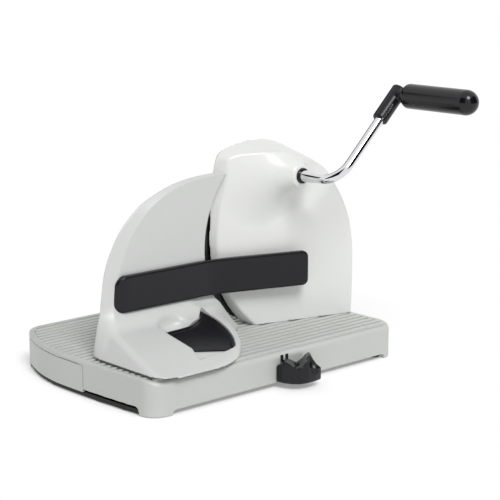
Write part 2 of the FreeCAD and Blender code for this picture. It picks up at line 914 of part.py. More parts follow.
def hub_cone(trim):
    """The conical boss round the crank, made thinner by the trim."""
    front = s.hub_front.value
    root = s.frame_front.value - s.hub_root_depth.value
    return Part.makeCone(s.hub_tip_radius.value - trim, s.hub_root_radius.value - trim,
                         root - front, Vector(crank_x, front, crank_z), ALONG)


FRAME_SCREWS = [
    (s.blade_place_x - s.frame_screw_left, s.blade_height + s.frame_screw_middle),
    (s.blade_place_x + s.frame_screw_right, s.blade_height - s.frame_screw_low),
    (s.blade_place_x + s.frame_screw_right, s.blade_height + s.frame_screw_high),
]
COVER_SCREWS = [
    (s.blade_place_x - s.cover_screw_left, s.blade_height + s.cover_screw_high),
    (s.blade_place_x + s.cover_screw_right, s.blade_height + s.cover_screw_middle),
    (s.blade_place_x - s.cover_screw_low_left, s.blade_height - s.cover_screw_low),
    (s.blade_place_x + s.cover_screw_low_right, s.blade_height - s.cover_screw_low),
]


def make_housing_shell():
    """The white gear housing: a domed wedge that leads the slice forward, hollow from behind."""
    wall = s.housing_wall.value
    depth = s.housing_back.value
    outline = housing_outline()
    outer = outline.extrude(Vector(0, -depth, 0)).common(housing_wedge(0)).removeSplitter()
    front_edges = [edge for edge in outer.Edges
                   if edge.BoundBox.ZLength > TALL and edge_middle(edge).y < depth - TOUCH]
    outer = outer.makeFillet(s.housing_rounding.value, front_edges)
    outer = outer.common(box(0, far, 0, far, deck_top, far)).fuse(hub_cone(0))
    inner_face = outline.makeOffset2D(-wall)
    inner = inner_face.extrude(Vector(0, -depth, 0)).common(housing_wedge(wall))
    plug_back = s.hub_front.value + s.bush_length.value + s.hub_plug.value
    inner = inner.fuse(hub_cone(wall).cut(box(0, far, 0, plug_back, 0, far)))
    inner = inner.fuse(inner_face.extrude(Vector(0, OVERCUT, 0)))
    shell = outer.cut(inner)
    boss = s.boss_radius.value
    fillers = []
    for x, z in plain(FRAME_SCREWS):
        fillers.append(cylinder(boss, s.frame_front.value, x, 0, z, ALONG).common(outer))
    for x, z in plain(COVER_SCREWS):
        fillers.append(cylinder(boss, s.cover_front.value, x, 0, z, ALONG).common(outer))
    for x, y in plain(HOUSING_SCREWS):
        fillers.append(cylinder(boss, s.housing_boss_height.value, x, y, deck_top, UP).common(outer))
    shell = joined([shell] + fillers)
    barrel = s.bush_barrel_radius.value + s.shaft_fit.value
    holes = [cylinder(barrel, plug_back - s.hub_front.value + 2 * OVERCUT,
                      crank_x, s.hub_front.value - OVERCUT, crank_z, ALONG)]
    for x, z in plain(FRAME_SCREWS):
        holes.append(screw_hole(x, s.frame_front.value + s.screw_head_height.value, z, TOWARDS,
                                s.frame_screw_length.value))
    for x, z in plain(COVER_SCREWS):
        holes.append(screw_hole(x, s.cover_front.value + s.cover_thickness.value, z, TOWARDS,
                                s.cover_screw_length.value))
    for x, y in plain(HOUSING_SCREWS):
        holes.append(screw_hole(x, y, deck_under - s.screw_head_height.value, UP,
                                s.base_screw_length.value))
    return shell.cut(holes)


def make_back_cover():
    """The black cover that closes the housing behind the gears."""
    front = s.cover_front.value
    face = housing_outline().makeOffset2D(-s.housing_wall.value - s.part_gap.value)
    face.translate(Vector(0, front + s.cover_thickness.value - s.housing_back.value, 0))
    cover = face.extrude(Vector(0, -s.cover_thickness.value, 0))
    holes = [
        cylinder(s.gear_hub_radius.value + s.gear_hub_room.value, far, blade_x, 0, blade_z, ALONG),
        cylinder(s.stub_radius.value + s.shaft_fit.value, far, crank_x, 0, crank_z, ALONG),
    ]
    for x, z in plain(COVER_SCREWS):
        holes.append(screw_hole(x, front + s.cover_thickness.value, z, TOWARDS,
                                s.cover_screw_length.value))
    return cover.cut(holes)


shape_piece("housing_shell", make_housing_shell())
shape_piece("back_cover", make_back_cover())
screw_set("housing_screws",
          [(x, y, s.deck_top - s.deck_thickness - s.screw_head_height) for x, y in HOUSING_SCREWS],
          "up", s.base_screw_length)
screw_set("frame_screws",
          [(x, s.frame_front + s.frame_thickness, z) for x, z in FRAME_SCREWS], "towards",
          s.frame_screw_length)
screw_set("cover_screws",
          [(x, s.cover_front + s.cover_thickness, z) for x, z in COVER_SCREWS], "towards",
          s.cover_screw_length)

axis_rise = s.gear_module * (s.blade_gear_teeth + s.crank_gear_teeth) / 2
crank_height = s.blade_height + axis_rise
rod_hole = s.rod_radius + s.shaft_fit
gear_frame = plate_along(
    "gear_frame",
    [
        (s.blade_place_x - s.frame_margin, s.blade_height - s.frame_overhang),
        (s.blade_place_x + s.frame_right, s.blade_height - s.frame_overhang),
        (s.blade_place_x + s.frame_right, crank_height - s.frame_step),
        (s.blade_place_x + s.frame_margin, crank_height + s.frame_margin),
        (s.blade_place_x - s.frame_margin, crank_height + s.frame_margin),
    ],
    [(s.blade_place_x, s.blade_height, s.axle_radius), (s.blade_place_x, crank_height, rod_hole)]
    + [(x, z, s.screw_radius + s.screw_gap) for x, z in FRAME_SCREWS],
    s.frame_front + s.frame_thickness, s.frame_thickness)
head_seats = sketch_on(gear_frame, "XZ_Plane", "head_seats", -(s.frame_front + s.frame_thickness))
for x, z in FRAME_SCREWS:
    draw_circle(head_seats, x, z, s.screw_head_radius + s.screw_gap * 3)
sink_heads(gear_frame, head_seats, s.screw_head_height)
turned("crank_bush", "along", [
    (-s.bush_flange, rod_hole),
    (-s.bush_flange, s.bush_radius),
    (0, s.bush_radius),
    (0, s.bush_barrel_radius),
    (s.bush_length, s.bush_barrel_radius),
    (s.bush_length, rod_hole),
], s.blade_place_x, s.hub_front, crank_height)


# Blade and gears

def involute(angle):
    """Involute of an angle in radians."""
    return math.tan(angle) - angle


def gear_face(teeth, rest_angle):
    """A spur gear in the XZ plane round the origin, with one tooth centred on the rest angle."""
    module = s.gear_module.value
    pitch_radius = module * teeth / 2
    pressure = math.radians(s.gear_pressure_angle.value)
    base_radius = pitch_radius * math.cos(pressure)
    tip = pitch_radius + s.gear_addendum.value * module
    root = pitch_radius - s.gear_dedendum.value * module
    half = (math.pi / 2 - s.gear_backlash.value / module) / teeth
    lowest = max(root, base_radius)
    steps = 4
    flank = []
    for step in range(steps + 1):
        radius = lowest + (tip - lowest) * step / steps
        spread = half + involute(pressure) - involute(math.acos(min(1, base_radius / radius)))
        flank.append((radius, spread))
    if root < lowest:
        flank.insert(0, (root, flank[0][1]))
    points = []
    for tooth in range(int(teeth)):
        middle = math.radians(rest_angle) + 2 * math.pi * tooth / teeth
        for radius, spread in flank:
            points.append((radius, middle - spread))
        for radius, spread in reversed(flank):
            points.append((radius, middle + spread))
    corners = [Vector(radius * math.cos(turn), 0, radius * math.sin(turn)) for radius, turn in points]
    return Part.Face(Part.makePolygon(corners + corners[:1]))


def make_gear(teeth, rest_angle, x, z):
    """The toothed rim of a gear at its place in the housing."""
    face = gear_face(teeth, rest_angle)
    face.translate(Vector(x, s.gear_back.value, z))
    return face.extrude(Vector(0, -s.gear_width.value, 0))


def cap_screw_spots():
    """Places of the three screws that hold cap, blade and gear together, as (x, z)."""
    spots = []
    for turn in (90, 210, 330):
        reach = s.cap_screw_circle.value
        spots.append((blade_x + reach * math.cos(math.radians(turn)),
                      blade_z + reach * math.sin(math.radians(turn))))
    return spots


BLADE_BACK = s.blade_front + s.blade_thickness
CAP_BACK = BLADE_BACK + s.cap_height


def make_blade_gear():
    """The large gear with the hub that carries the blade."""
    front = s.frame_front.value + s.frame_thickness.value + s.thrust_gap.value
    gear = make_gear(s.blade_gear_teeth.value, 90, blade_x, blade_z)
    collar = cylinder(s.gear_collar_radius.value, s.blade_front.value - front, blade_x, front, blade_z, ALONG)
    hub_start = s.gear_back.value - s.gear_hub_sink.value
    hub = cylinder(s.gear_hub_radius.value, s.blade_front.value - hub_start,
                   blade_x, hub_start, blade_z, ALONG)
    spigot = cylinder(s.blade_bore.value / 2 - s.shaft_fit.value, BLADE_BACK.value - s.gear_back.value,
                      blade_x, s.gear_back.value, blade_z, ALONG)
    bore = cylinder(s.axle_radius.value + s.shaft_fit.value, far, blade_x, 0, blade_z, ALONG)
    holes = [bore]
    lightening = int(s.lightening_holes.value)
    for number in range(lightening):
        turn = 2 * math.pi * (number + 0.5) / lightening
        x = blade_x + s.lightening_circle.value * math.cos(turn)
        z = blade_z + s.lightening_circle.value * math.sin(turn)
        holes.append(cylinder(s.lightening_radius.value, far, x, 0, z, ALONG))
    for x, z in cap_screw_spots():
        holes.append(screw_hole(x, CAP_BACK.value, z, TOWARDS, s.base_screw_length.value))
    return joined([gear, collar, hub, spigot]).cut(holes)


def make_blade():
    """The round steel blade with a shallow wavy edge."""
    waves = int(s.blade_waves.value)
    outer = s.blade_diameter.value / 2
    inner = outer - s.blade_wave.value
    points = []
    for wave in range(waves):
        for part, radius in ((0, outer), (0.5, inner)):
            turn = 2 * math.pi * (wave + part) / waves
            points.append(Vector(radius * math.cos(turn), 0, radius * math.sin(turn)))
    curve = Part.BSplineCurve()
    curve.interpolate(points, PeriodicFlag=True)
    disc = Part.Face(Part.Wire(curve.toShape())).extrude(Vector(0, s.blade_thickness.value, 0))
    disc.translate(Vector(blade_x, s.blade_front.value, blade_z))
    holes = [cylinder(s.blade_bore.value / 2, far, blade_x, 0, blade_z, ALONG)]
    return disc.cut(holes)


def make_crank_gear():
    """The small gear on the crank shaft, with its gap facing the large gear."""
    half_pitch = 180 / s.crank_gear_teeth.value
    gap = s.thrust_gap.value
    front = s.frame_front.value + s.frame_thickness.value + gap
    back = s.cover_front.value - gap
    gear = make_gear(s.crank_gear_teeth.value, 270 + half_pitch, crank_x, crank_z)
    hub = cylinder(s.pinion_hub_radius.value, back - front, crank_x, front, crank_z, ALONG)
    fit = s.shaft_fit.value
    bore = cylinder(s.rod_radius.value + fit, far, crank_x, 0, crank_z, ALONG)
    flat = box(-far, far, 0, far, crank_z + s.drive_flat.value + fit, far)
    return gear.fuse(hub).cut(bore.cut(flat))


shape_piece("blade", make_blade())
shape_piece("blade_gear", make_blade_gear())
shape_piece("crank_gear", make_crank_gear())
turned("blade_axle", "along", [
    (s.frame_front - s.axle_head, 0),
    (s.frame_front - s.axle_head, s.axle_radius + s.axle_head),
    (s.frame_front, s.axle_radius + s.axle_head),
    (s.frame_front, s.axle_radius),
    (BLADE_BACK + s.cap_height / 2 - s.axle_end_gap, s.axle_radius),
    (BLADE_BACK + s.cap_height / 2 - s.axle_end_gap, 0),
], s.blade_place_x, 0, s.blade_height)
cap = turned("blade_cap", "along", [
    (BLADE_BACK + s.cap_height / 2, 0),
    (BLADE_BACK + s.cap_height / 2, s.clip_radius + s.seat_gap * 2),
    (BLADE_BACK, s.clip_radius + s.seat_gap * 2),
    (BLADE_BACK, s.cap_radius),
    (BLADE_BACK + s.cap_height / 2, s.cap_radius - s.cap_bevel),
    (CAP_BACK, s.cap_radius - s.cap_slope),
    (CAP_BACK, 0),
], s.blade_place_x, 0, s.blade_height)
cap_holes = sketch_on(cap, "XZ_Plane", "cap_holes", -CAP_BACK)
cap_seats = sketch_on(cap, "XZ_Plane", "cap_seats", -CAP_BACK)
for x, z in cap_screw_spots():
    draw_circle(cap_holes, x - blade_x, z - blade_z, s.screw_radius + s.screw_gap)
    draw_circle(cap_seats, x - blade_x, z - blade_z, s.screw_head_radius + s.screw_gap * 3)
pocket_through(cap, cap_holes)
sink_heads(cap, cap_seats, s.screw_head_height)
screw_set("blade_screws", [(x, CAP_BACK, z) for x, z in cap_screw_spots()], "towards",
          s.base_screw_length)
turned("axle_clip", "along", [
    (BLADE_BACK + s.thrust_gap, s.axle_radius),
    (BLADE_BACK + s.thrust_gap, s.clip_radius),
    (BLADE_BACK + s.thrust_gap + s.clip_thickness, s.clip_radius),
    (BLADE_BACK + s.thrust_gap + s.clip_thickness, s.axle_radius),
], s.blade_place_x, 0, s.blade_height)


# Crank

def axle_bar(name, radius, length, start, way):
    """A round bar in the crank's own frame, along its arm or along its axis."""
    bar = doc.addObject("Part::Cylinder", name)
    bind(bar, "Radius", radius)
    bind(bar, "Height", length)
    if way == "arm":
        bar.Placement.Rotation = Rotation(ALONG, 90)
        bind(bar, "Placement.Base.x", start)
    else:
        bar.Placement.Rotation = Rotation(RIGHT, -90)
        bind(bar, "Placement.Base.y", start)
    return bar


def on_crank(thing, label):
    """Turn a piece from the crank's own frame to its rest angle and hang it on the crank axis."""
    thing.Placement.Rotation = Rotation(Vector(0, -1, 0), s.crank_rest_angle.value)
    bind(thing, "Placement.Rotation.Angle", s.crank_rest_angle)
    put(thing, s.blade_place_x, s.crank_plane, crank_height)
    return piece(thing, label)


def make_crank_rod():
    """The chromed rod: shaft, bend and arm in one, with a flat that drives the small gear."""
    bend = s.crank_bend_radius
    shaft_end = s.cover_front - s.thrust_gap - s.crank_plane
    shaft = axle_bar("crank_shaft", s.rod_radius, shaft_end - bend, bend, "axis")
    stub = axle_bar("crank_stub", s.stub_radius, s.cover_thickness + s.thrust_gap * 2 + s.stub_overlap,
                    shaft_end - s.stub_overlap, "axis")
    elbow = doc.addObject("Part::Torus", "crank_bend")
    bind(elbow, "Radius1", bend)
    bind(elbow, "Radius2", s.rod_radius)
    elbow.Angle3 = 90
    elbow.Placement.Rotation = Rotation(UP, 180)
    bind(elbow, "Placement.Base.x", bend)
    bind(elbow, "Placement.Base.y", bend)
    arm = axle_bar("crank_arm", s.rod_radius,
                   s.crank_radius - s.grip_pin_radius - s.arm_end_gap - bend, bend, "arm")
    solid = doc.addObject("Part::MultiFuse", "crank_blank")
    solid.Shapes = [shaft, stub, elbow, arm]
    flat = doc.addObject("Part::Box", "crank_flat")
    bind(flat, "Length", s.rod_radius * 4)
    bind(flat, "Height", s.rod_radius)
    bind(flat, "Width", s.cover_front - s.frame_front - s.frame_thickness - s.thrust_gap)
    bind(flat, "Placement.Base.x", -s.rod_radius * 2)
    bind(flat, "Placement.Base.y",
         s.frame_front + s.frame_thickness - s.crank_plane)
    bind(flat, "Placement.Base.z", s.drive_flat)
    turned_flat = doc.addObject("Part::Compound", "crank_flat_turned")
    turned_flat.Links = [flat]
    turned_flat.Placement.Rotation = Rotation(ALONG, s.crank_rest_angle.value)
    bind(turned_flat, "Placement.Rotation.Angle", s.crank_rest_angle)
    rod = doc.addObject("Part::Cut", "crank_rod")
    rod.Base = solid
    rod.Tool = turned_flat
    return on_crank(rod, "crank_rod")


def make_grip_socket():
    """The black sleeve at the end of the arm, with the neck that points at the grip."""
    sleeve = axle_bar("socket_sleeve", s.socket_radius, s.socket_end - s.socket_start,
                      s.socket_start, "arm")
    neck = axle_bar("socket_neck", s.socket_neck_radius, s.grip_start - s.seat_gap,
                    s.seat_gap - s.grip_start, "axis")
    bind(neck, "Placement.Base.x", s.crank_radius)
    blank = doc.addObject("Part::Fuse", "socket_blank")
    blank.Base = sleeve
    blank.Tool = neck
    arm_hole = axle_bar("socket_arm_hole", s.rod_radius + s.screw_gap / 4,
                        s.crank_radius - s.grip_pin_radius - s.arm_end_gap - s.socket_start + OVERCUT,
                        s.socket_start - OVERCUT, "arm")
    pin_hole = axle_bar("socket_pin_hole", s.grip_pin_radius + s.screw_gap / 4,
                        s.grip_start + s.socket_radius + 2 * OVERCUT, -s.grip_start - OVERCUT, "axis")
    bind(pin_hole, "Placement.Base.x", s.crank_radius)
    holes = doc.addObject("Part::Fuse", "socket_holes")
    holes.Base = arm_hole
    holes.Tool = pin_hole
    socket = doc.addObject("Part::Cut", "grip_socket")
    socket.Base = blank
    socket.Tool = holes
    return on_crank(socket, "grip_socket")


def make_grip_pin():
    """The steel pin that the grip turns on."""
    pin = axle_bar("grip_pin_bar", s.grip_pin_radius,
                   s.grip_start + s.grip_pin_depth + s.socket_radius,
                   -s.grip_start - s.grip_pin_depth, "axis")
    bind(pin, "Placement.Base.x", s.crank_radius)
    group = doc.addObject("Part::Compound", "grip_pin")
    group.Links = [pin]
    return on_crank(group, "grip_pin")


def cosine(angle):
    """Cosine of a size in degrees."""
    return Size(math.cos(math.radians(angle.value)), f"cos({angle.text})")


def sine(angle):
    """Sine of a size in degrees."""
    return Size(math.sin(math.radians(angle.value)), f"sin({angle.text})")


make_crank_rod()
make_grip_socket()
make_grip_pin()
grip_end = s.grip_start + s.grip_length
pin_room = s.grip_pin_radius + s.shaft_fit
turned("grip", "along", [
    (-s.grip_start, pin_room),
    (-s.grip_start, s.grip_neck_radius),
    (-s.grip_start - s.grip_taper, s.grip_radius),
    (-grip_end + s.grip_end_length, s.grip_radius - s.grip_end_ease),
    (-grip_end + s.grip_end_turn, s.grip_radius - s.grip_end_step),
    (-grip_end, s.grip_radius - s.grip_end_round),
    (-grip_end, 0),
    (-s.grip_start - s.grip_pin_depth - s.seat_gap, 0),
    (-s.grip_start - s.grip_pin_depth - s.seat_gap, pin_room),
], s.blade_place_x + s.crank_radius * cosine(s.crank_rest_angle), s.crank_plane,
    crank_height + s.crank_radius * sine(s.crank_rest_angle))


# Guide plate with its foot, bar and lever

fin_back = s.blade_front.value - s.slice_setting.value
fin_front = fin_back - s.fin_thickness.value
foot_under = deck_top + s.slide_gap.value
slope_angle = math.radians(s.foot_slope.value)
LEVER_NORMAL = Vector(0, -math.sin(slope_angle), math.cos(slope_angle))
LEVER_TOP = Vector(s.lever_x.value, s.lever_y.value,
                   s.lever_level.value
                   + (s.lever_y.value - s.foot_level_place.value) * math.tan(slope_angle))


def make_fin():
    """The upright plate: a quarter round sail whose right edge follows the blade."""
    radius = s.fin_edge_radius.value
    centre = Vector(s.fin_edge_x.value, fin_back, s.fin_edge_z.value)
    left = s.fin_foot_left.value
    top = s.fin_height.value

    def at(x, z):
        return Vector(x, fin_back, z)

    def on_edge(z):
        return at(centre.x - math.sqrt(radius ** 2 - (z - centre.z) ** 2), z)

    low = at(left + s.fin_low_in.value, s.fin_low_z.value)
    middle = at(left + s.fin_middle_in.value, s.fin_middle_z.value)
    shoulder = at(left + s.fin_shoulder_in.value, s.fin_shoulder_z.value)
    brow = at(left + s.fin_brow_in.value, top - s.fin_brow_drop.value)
    crest = at(left + s.fin_crest_in.value, top - s.fin_crest_drop.value)
    tip_low = on_edge(top - s.fin_tip_drop.value)
    tip_high = at(tip_low.x - s.fin_tip_in.value, top)
    tip_mid = at(tip_low.x + s.fin_tip_bulge.value, top - s.fin_tip_bulge_drop.value)
    base_right = on_edge(foot_under)
    edges = [
        Part.Arc(at(left, foot_under), low, middle).toShape(),
        Part.Arc(middle, shoulder, brow).toShape(),
        Part.Arc(brow, crest, tip_high).toShape(),
        Part.Arc(tip_high, tip_mid, tip_low).toShape(),
        Part.Arc(tip_low, on_edge(centre.z), base_right).toShape(),
        Part.LineSegment(base_right, at(left, foot_under)).toShape(),
    ]
    return Part.Face(Part.Wire(edges)).extrude(Vector(0, -s.fin_thickness.value, 0))


def foot_plan():
    """Plan of the foot as a face on the deck."""
    left = s.foot_left.value
    front = -s.foot_front_overhang.value
    right = s.fin_edge_x.value - math.sqrt(
        s.fin_edge_radius.value ** 2 - (foot_under - s.fin_edge_z.value) ** 2)

    def at(x, y):
        return Vector(x, y, foot_under)

    rear_left = at(left, fin_back)
    corner = at(left, s.foot_corner_back.value)
    corner_middle = at(left + s.foot_corner_in.value, front + s.foot_corner_step.value)
    front_start = at(left + s.foot_front_start.value, front)
    front_end = at(left + s.foot_front_end.value, front)
    turn_middle = at(left + s.foot_turn_in.value, front + s.foot_turn_back.value)
    side_start = at(left + s.foot_side_in.value, s.foot_side_back.value)
    rear_right = at(right, fin_back)
    edges = [
        Part.LineSegment(rear_left, corner).toShape(),
        Part.Arc(corner, corner_middle, front_start).toShape(),
        Part.LineSegment(front_start, front_end).toShape(),
        Part.Arc(front_end, turn_middle, side_start).toShape(),
        Part.LineSegment(side_start, rear_right).toShape(),
        Part.LineSegment(rear_right, rear_left).toShape(),
    ]
    return Part.Face(Part.Wire(edges))


def foot_section():
    """Side view of the foot: a low front edge, a gentle rise and a sweep up into the plate."""
    front = -s.foot_front_overhang.value
    level = s.foot_level.value
    place = s.foot_level_place.value
    start = s.foot_sweep_start.value
    rise = level + (start - place) * math.tan(slope_angle)
    top = s.foot_sweep_top.value

    def at(y, z):
        return Vector(0, y, z)

    edge_top = at(front, foot_under + s.foot_edge_height.value)
    nose = at(front + s.foot_nose_run.value, level - s.foot_nose_drop.value)
    lip = at(front + s.foot_lip_run.value, level - s.foot_lip_drop.value)
    bulge = s.foot_sweep_bulge.value
    sweep_middle = at((start + fin_front) / 2 + bulge, (rise + top) / 2 - bulge)
    edges = [
        Part.LineSegment(at(fin_back, foot_under), at(front, foot_under)).toShape(),
        Part.LineSegment(at(front, foot_under), edge_top).toShape(),
        Part.Arc(edge_top, nose, lip).toShape(),
        Part.LineSegment(lip, at(place, level)).toShape(),
        Part.LineSegment(at(place, level), at(start, rise)).toShape(),
        Part.Arc(at(start, rise), sweep_middle, at(fin_front, top)).toShape(),
        Part.LineSegment(at(fin_front, top), at(fin_back, top)).toShape(),
        Part.LineSegment(at(fin_back, top), at(fin_back, foot_under)).toShape(),
    ]
    return Part.Face(Part.Wire(edges))


def tilt(shape):
    """Move a shape from the lever's own flat frame onto the slope of the foot."""
    shape = shape.copy()
    shape.rotate(Vector(0, 0, 0), RIGHT, s.foot_slope.value)
    shape.translate(LEVER_TOP)
    return shape


def lever_face():
    """Outline of the lever, seen square to the foot's slope, with its pivot at the origin."""
    reach = s.lever_reach.value

    def on_rim(angle):
        return Vector(reach * math.cos(math.radians(angle)), reach * math.sin(math.radians(angle)), 0)

    hub = s.lever_hub_radius.value
    hub_rear = Vector(0, hub, 0)
    hub_front = Vector(0, -hub, 0)
    heel = Vector(s.lever_heel_x.value, -s.lever_heel_y.value, 0)
    front = Vector(s.lever_front_x.value, -s.lever_front_y.value, 0)
    toe = on_rim(-s.lever_toe_angle.value)
    horn = on_rim(s.lever_horn_angle.value)
    hollow = Vector(s.lever_hollow_x.value, s.lever_hollow_y.value, 0)
    back = Vector(s.lever_back_x.value, s.lever_back_y.value, 0)
    neck = Vector(s.lever_neck_x.value, s.lever_back_y.value, 0)
    edges = [
        Part.Arc(hub_rear, Vector(-hub, 0, 0), hub_front).toShape(),
        Part.LineSegment(hub_front, heel).toShape(),
        Part.LineSegment(heel, front).toShape(),
        Part.LineSegment(front, toe).toShape(),
        Part.Arc(toe, on_rim(-s.lever_rim_angle.value), horn).toShape(),
        Part.Arc(horn, hollow, back).toShape(),
        Part.LineSegment(back, neck).toShape(),
        Part.LineSegment(neck, hub_rear).toShape(),
    ]
    return Part.Face(Part.Wire(edges))


def lever_room():
    """The pocket in the foot that the lever swings in, in the lever's own frame."""
    gap = s.part_gap.value
    depth = s.lever_thickness.value + gap
    face = lever_face()
    swept = []
    steps = 4
    for step in range(steps + 1):
        grown = face.makeOffset2D(gap)
        grown.rotate(Vector(0, 0, 0), UP, -s.lever_swing.value * step / steps)
        grown.translate(Vector(0, 0, -depth))
        swept.append(grown.extrude(Vector(0, 0, depth + gap)))
    cavity = joined(swept)
    reach = s.lever_reach.value
    window = []
    for solid in swept:
        window.append(solid.common(box(s.lever_window.value, 2 * reach, -reach, reach, -depth, gap)))
    opening = joined(window)
    lifted = opening.copy()
    lifted.translate(Vector(0, 0, depth))
    higher = opening.copy()
    higher.translate(Vector(0, 0, 2 * depth))
    return joined([cavity, lifted, higher])


bar_middle = (s.bar_bottom + s.bar_top) / 2
BAR_SCREWS = [
    (s.bar_left + s.bar_screw_left, bar_middle),
    (s.bar_left + s.bar_screw_right, bar_middle),
]


def make_guide_plate():
    """The white guide: upright plate and foot moulded as one."""
    foot = foot_plan().extrude(Vector(0, 0, s.foot_sweep_top.value))
    section = foot_section().extrude(Vector(s.base_length.value, 0, 0))
    foot = foot.common(section)
    edge = cylinder(s.fin_edge_radius.value, far, s.fin_edge_x.value, -far / 2, s.fin_edge_z.value, ALONG)
    fin = make_fin()
    low_part = box(0, s.fin_edge_x.value, -far / 2, far / 2, 0, s.foot_whole_height.value)
    inner_part = box(s.fin_foot_left.value + s.foot_inner_in.value, s.fin_edge_x.value, 0, fin_back,
                     s.foot_inner_height.value, far)
    foot = foot.cut(edge).common(joined([fin, low_part, inner_part]))
    plate = fin.fuse(foot)
    holes = [tilt(lever_room())]
    holes.append(make_lever_pin())
    for x, z in plain(BAR_SCREWS):
        holes.append(screw_hole(x, fin_back, z, TOWARDS, s.bar_screw_length.value))
    for x, y in neck_spots():
        holes.append(cylinder(s.screw_radius.value + s.screw_gap.value,
                              s.neck_hole_depth.value + OVERCUT, x, y, foot_under - OVERCUT, UP))
    return plate.cut(holes)


def make_lever():
    """The black lever that locks the guide."""
    thickness = s.lever_thickness.value
    face = lever_face()
    face.translate(Vector(0, 0, -thickness))
    lever = face.extrude(Vector(0, 0, thickness))
    bore = cylinder(s.lever_pin_radius.value + s.shaft_fit.value, far, 0, 0, -far / 2, UP)
    return tilt(lever.cut(bore))


def make_lever_pin():
    """The pin that the lever turns on, sunk in the foot."""
    return tilt(cylinder(s.lever_pin_radius.value, s.lever_pin_length.value, 0, 0,
                         -s.lever_pin_sink.value, UP))


shape_piece("guide_plate", make_guide_plate())
shape_piece("lock_lever", make_lever())
shape_piece("lever_pin", make_lever_pin())

bar = new_body("slice_bar")
bar_plan = sketch_on(bar, "XY_Plane", "bar_plan", s.bar_bottom)
bar_back = s.blade_front - s.slice_setting - s.fin_thickness
bar_face = bar_back - s.bar_thickness
wing_x = s.bar_bend + s.bar_wing * cosine(s.bar_turn)
wing_y = bar_face - s.bar_wing * sine(s.bar_turn)
half_turn = s.bar_turn / 2
draw_polygon(bar_plan, [
    (s.bar_left, bar_face),
    (s.bar_bend, bar_face),
    (wing_x, wing_y),
    (wing_x + s.bar_thickness * sine(s.bar_turn), wing_y + s.bar_thickness * cosine(s.bar_turn)),
    (s.bar_bend + s.bar_thickness * sine(half_turn) / cosine(half_turn), bar_back),
    (s.bar_left, bar_back),
])
bar_pad = pad(bar, bar_plan, s.bar_top - s.bar_bottom)
round_edges(bar, bar_pad, s.bar_corner_radius, lambda edge: (
    abs(edge.Length - s.bar_thickness.value) < TOUCH and edge.BoundBox.ZLength < TOUCH))
bar_holes = sketch_on(bar, "XZ_Plane", "bar_holes", -bar_back)
for x, z in BAR_SCREWS:
    draw_circle(bar_holes, x, z, s.screw_radius + s.screw_gap)
sink_heads(bar, bar_holes, s.bar_hole_depth)
put(bar, 0, 0, 0)
screw_set("bar_screws", [(x, s.blade_front - s.slice_setting, z) for x, z in BAR_SCREWS], "towards",
          s.bar_screw_length)


def make_runner():
    """The black runner under the deck, with the two necks that carry the foot."""
    low = deck_under - s.slide_gap.value - s.runner_thickness.value
    high = deck_under - s.slide_gap.value
    left = s.runner_left.value
    front = s.runner_front.value
    runner = [box(left, left + s.runner_length.value, front, front + s.runner_depth.value, low, high)]
    half_width = s.neck_width.value / 2
    half_depth = s.neck_depth.value / 2
    for x, y in neck_spots():
        runner.append(box(x - half_width, x + half_width, y - half_depth, y + half_depth,
                          high - OVERCUT, foot_under))
    holes = []
    for x, y in neck_spots():
        holes.append(screw_hole(x, y, low, UP, s.base_screw_length.value))
    return joined(runner).cut(holes)


shape_piece("guide_runner", make_runner())
runner_low = s.deck_top - s.deck_thickness - s.slide_gap - s.runner_thickness
runner_middle = s.runner_front + s.runner_depth / 2
screw_set("runner_screws",
          [(s.neck_first, runner_middle, runner_low), (s.neck_second, runner_middle, runner_low)],
          "up", s.base_screw_length)


# Suction lock

def make_knob():
    """The black winged knob on the front, with a collar and two ears."""
    gap = s.knob_gap.value
    front = -s.knob_reach.value
    collar_front = -s.knob_collar.value - gap
    radius = s.knob_radius.value
    collar = cylinder(radius, s.knob_collar.value, 0, collar_front, 0, ALONG)
    drum_radius = radius - s.knob_drum_step.value
    drum = cylinder(drum_radius, -front + collar_front, 0, front, 0, ALONG)
    half = s.knob_wing.value / 2
    wing = drum.common(box(-radius, radius, front, 0, -half, half))
    saddle = cylinder(s.knob_saddle_radius.value, far, 0, front - s.knob_saddle_place.value, -far / 2, UP)
    wing = wing.cut(saddle)
    core = Part.makeCone(drum_radius, half + s.knob_core_step.value, s.knob_core_length.value,
                         Vector(0, collar_front, 0), TOWARDS)
    shaft = cylinder(s.cam_shaft_radius.value, s.cam_shaft_front.value, 0, -s.cam_shaft_front.value, 0, ALONG)
    knob = joined([collar, wing, core])
    knob.rotate(Vector(0, 0, 0), ALONG, -s.knob_turn.value)
    knob = knob.cut(shaft)
    knob.translate(Vector(knob_x, 0, knob_z))
    return knob


def make_cam_shaft():
    """The shaft behind the knob, with the spiral cam that lifts the suction cup."""
    base = s.cam_base_radius.value
    lift = s.cam_lift.value
    start = -s.cam_shaft_front.value
    shaft = cylinder(s.cam_shaft_radius.value, s.cam_shaft_end.value - start, knob_x, start, knob_z, ALONG)
    sweep = s.cam_sweep.value
    fall = s.cam_return.value
    rest = 360 - sweep - fall
    steps = 24
    points = []
    for step in range(steps + 1):
        points.append((base + lift * step / steps, sweep * (1 - step / steps)))
    for step in range(1, steps):
        points.append((base + lift * (1 - step / steps), -fall * step / steps))
    for step in range(steps):
        points.append((base, -fall - rest * step / steps))
    corners = []
    for radius, angle in points:
        turn = math.radians(angle)
        corners.append(Vector(knob_x + radius * math.cos(turn), s.cam_front.value,
                              knob_z + radius * math.sin(turn)))
    cam = Part.Face(Part.makePolygon(corners + corners[:1])).extrude(Vector(0, s.cam_width.value, 0))
    return shaft.fuse(cam)


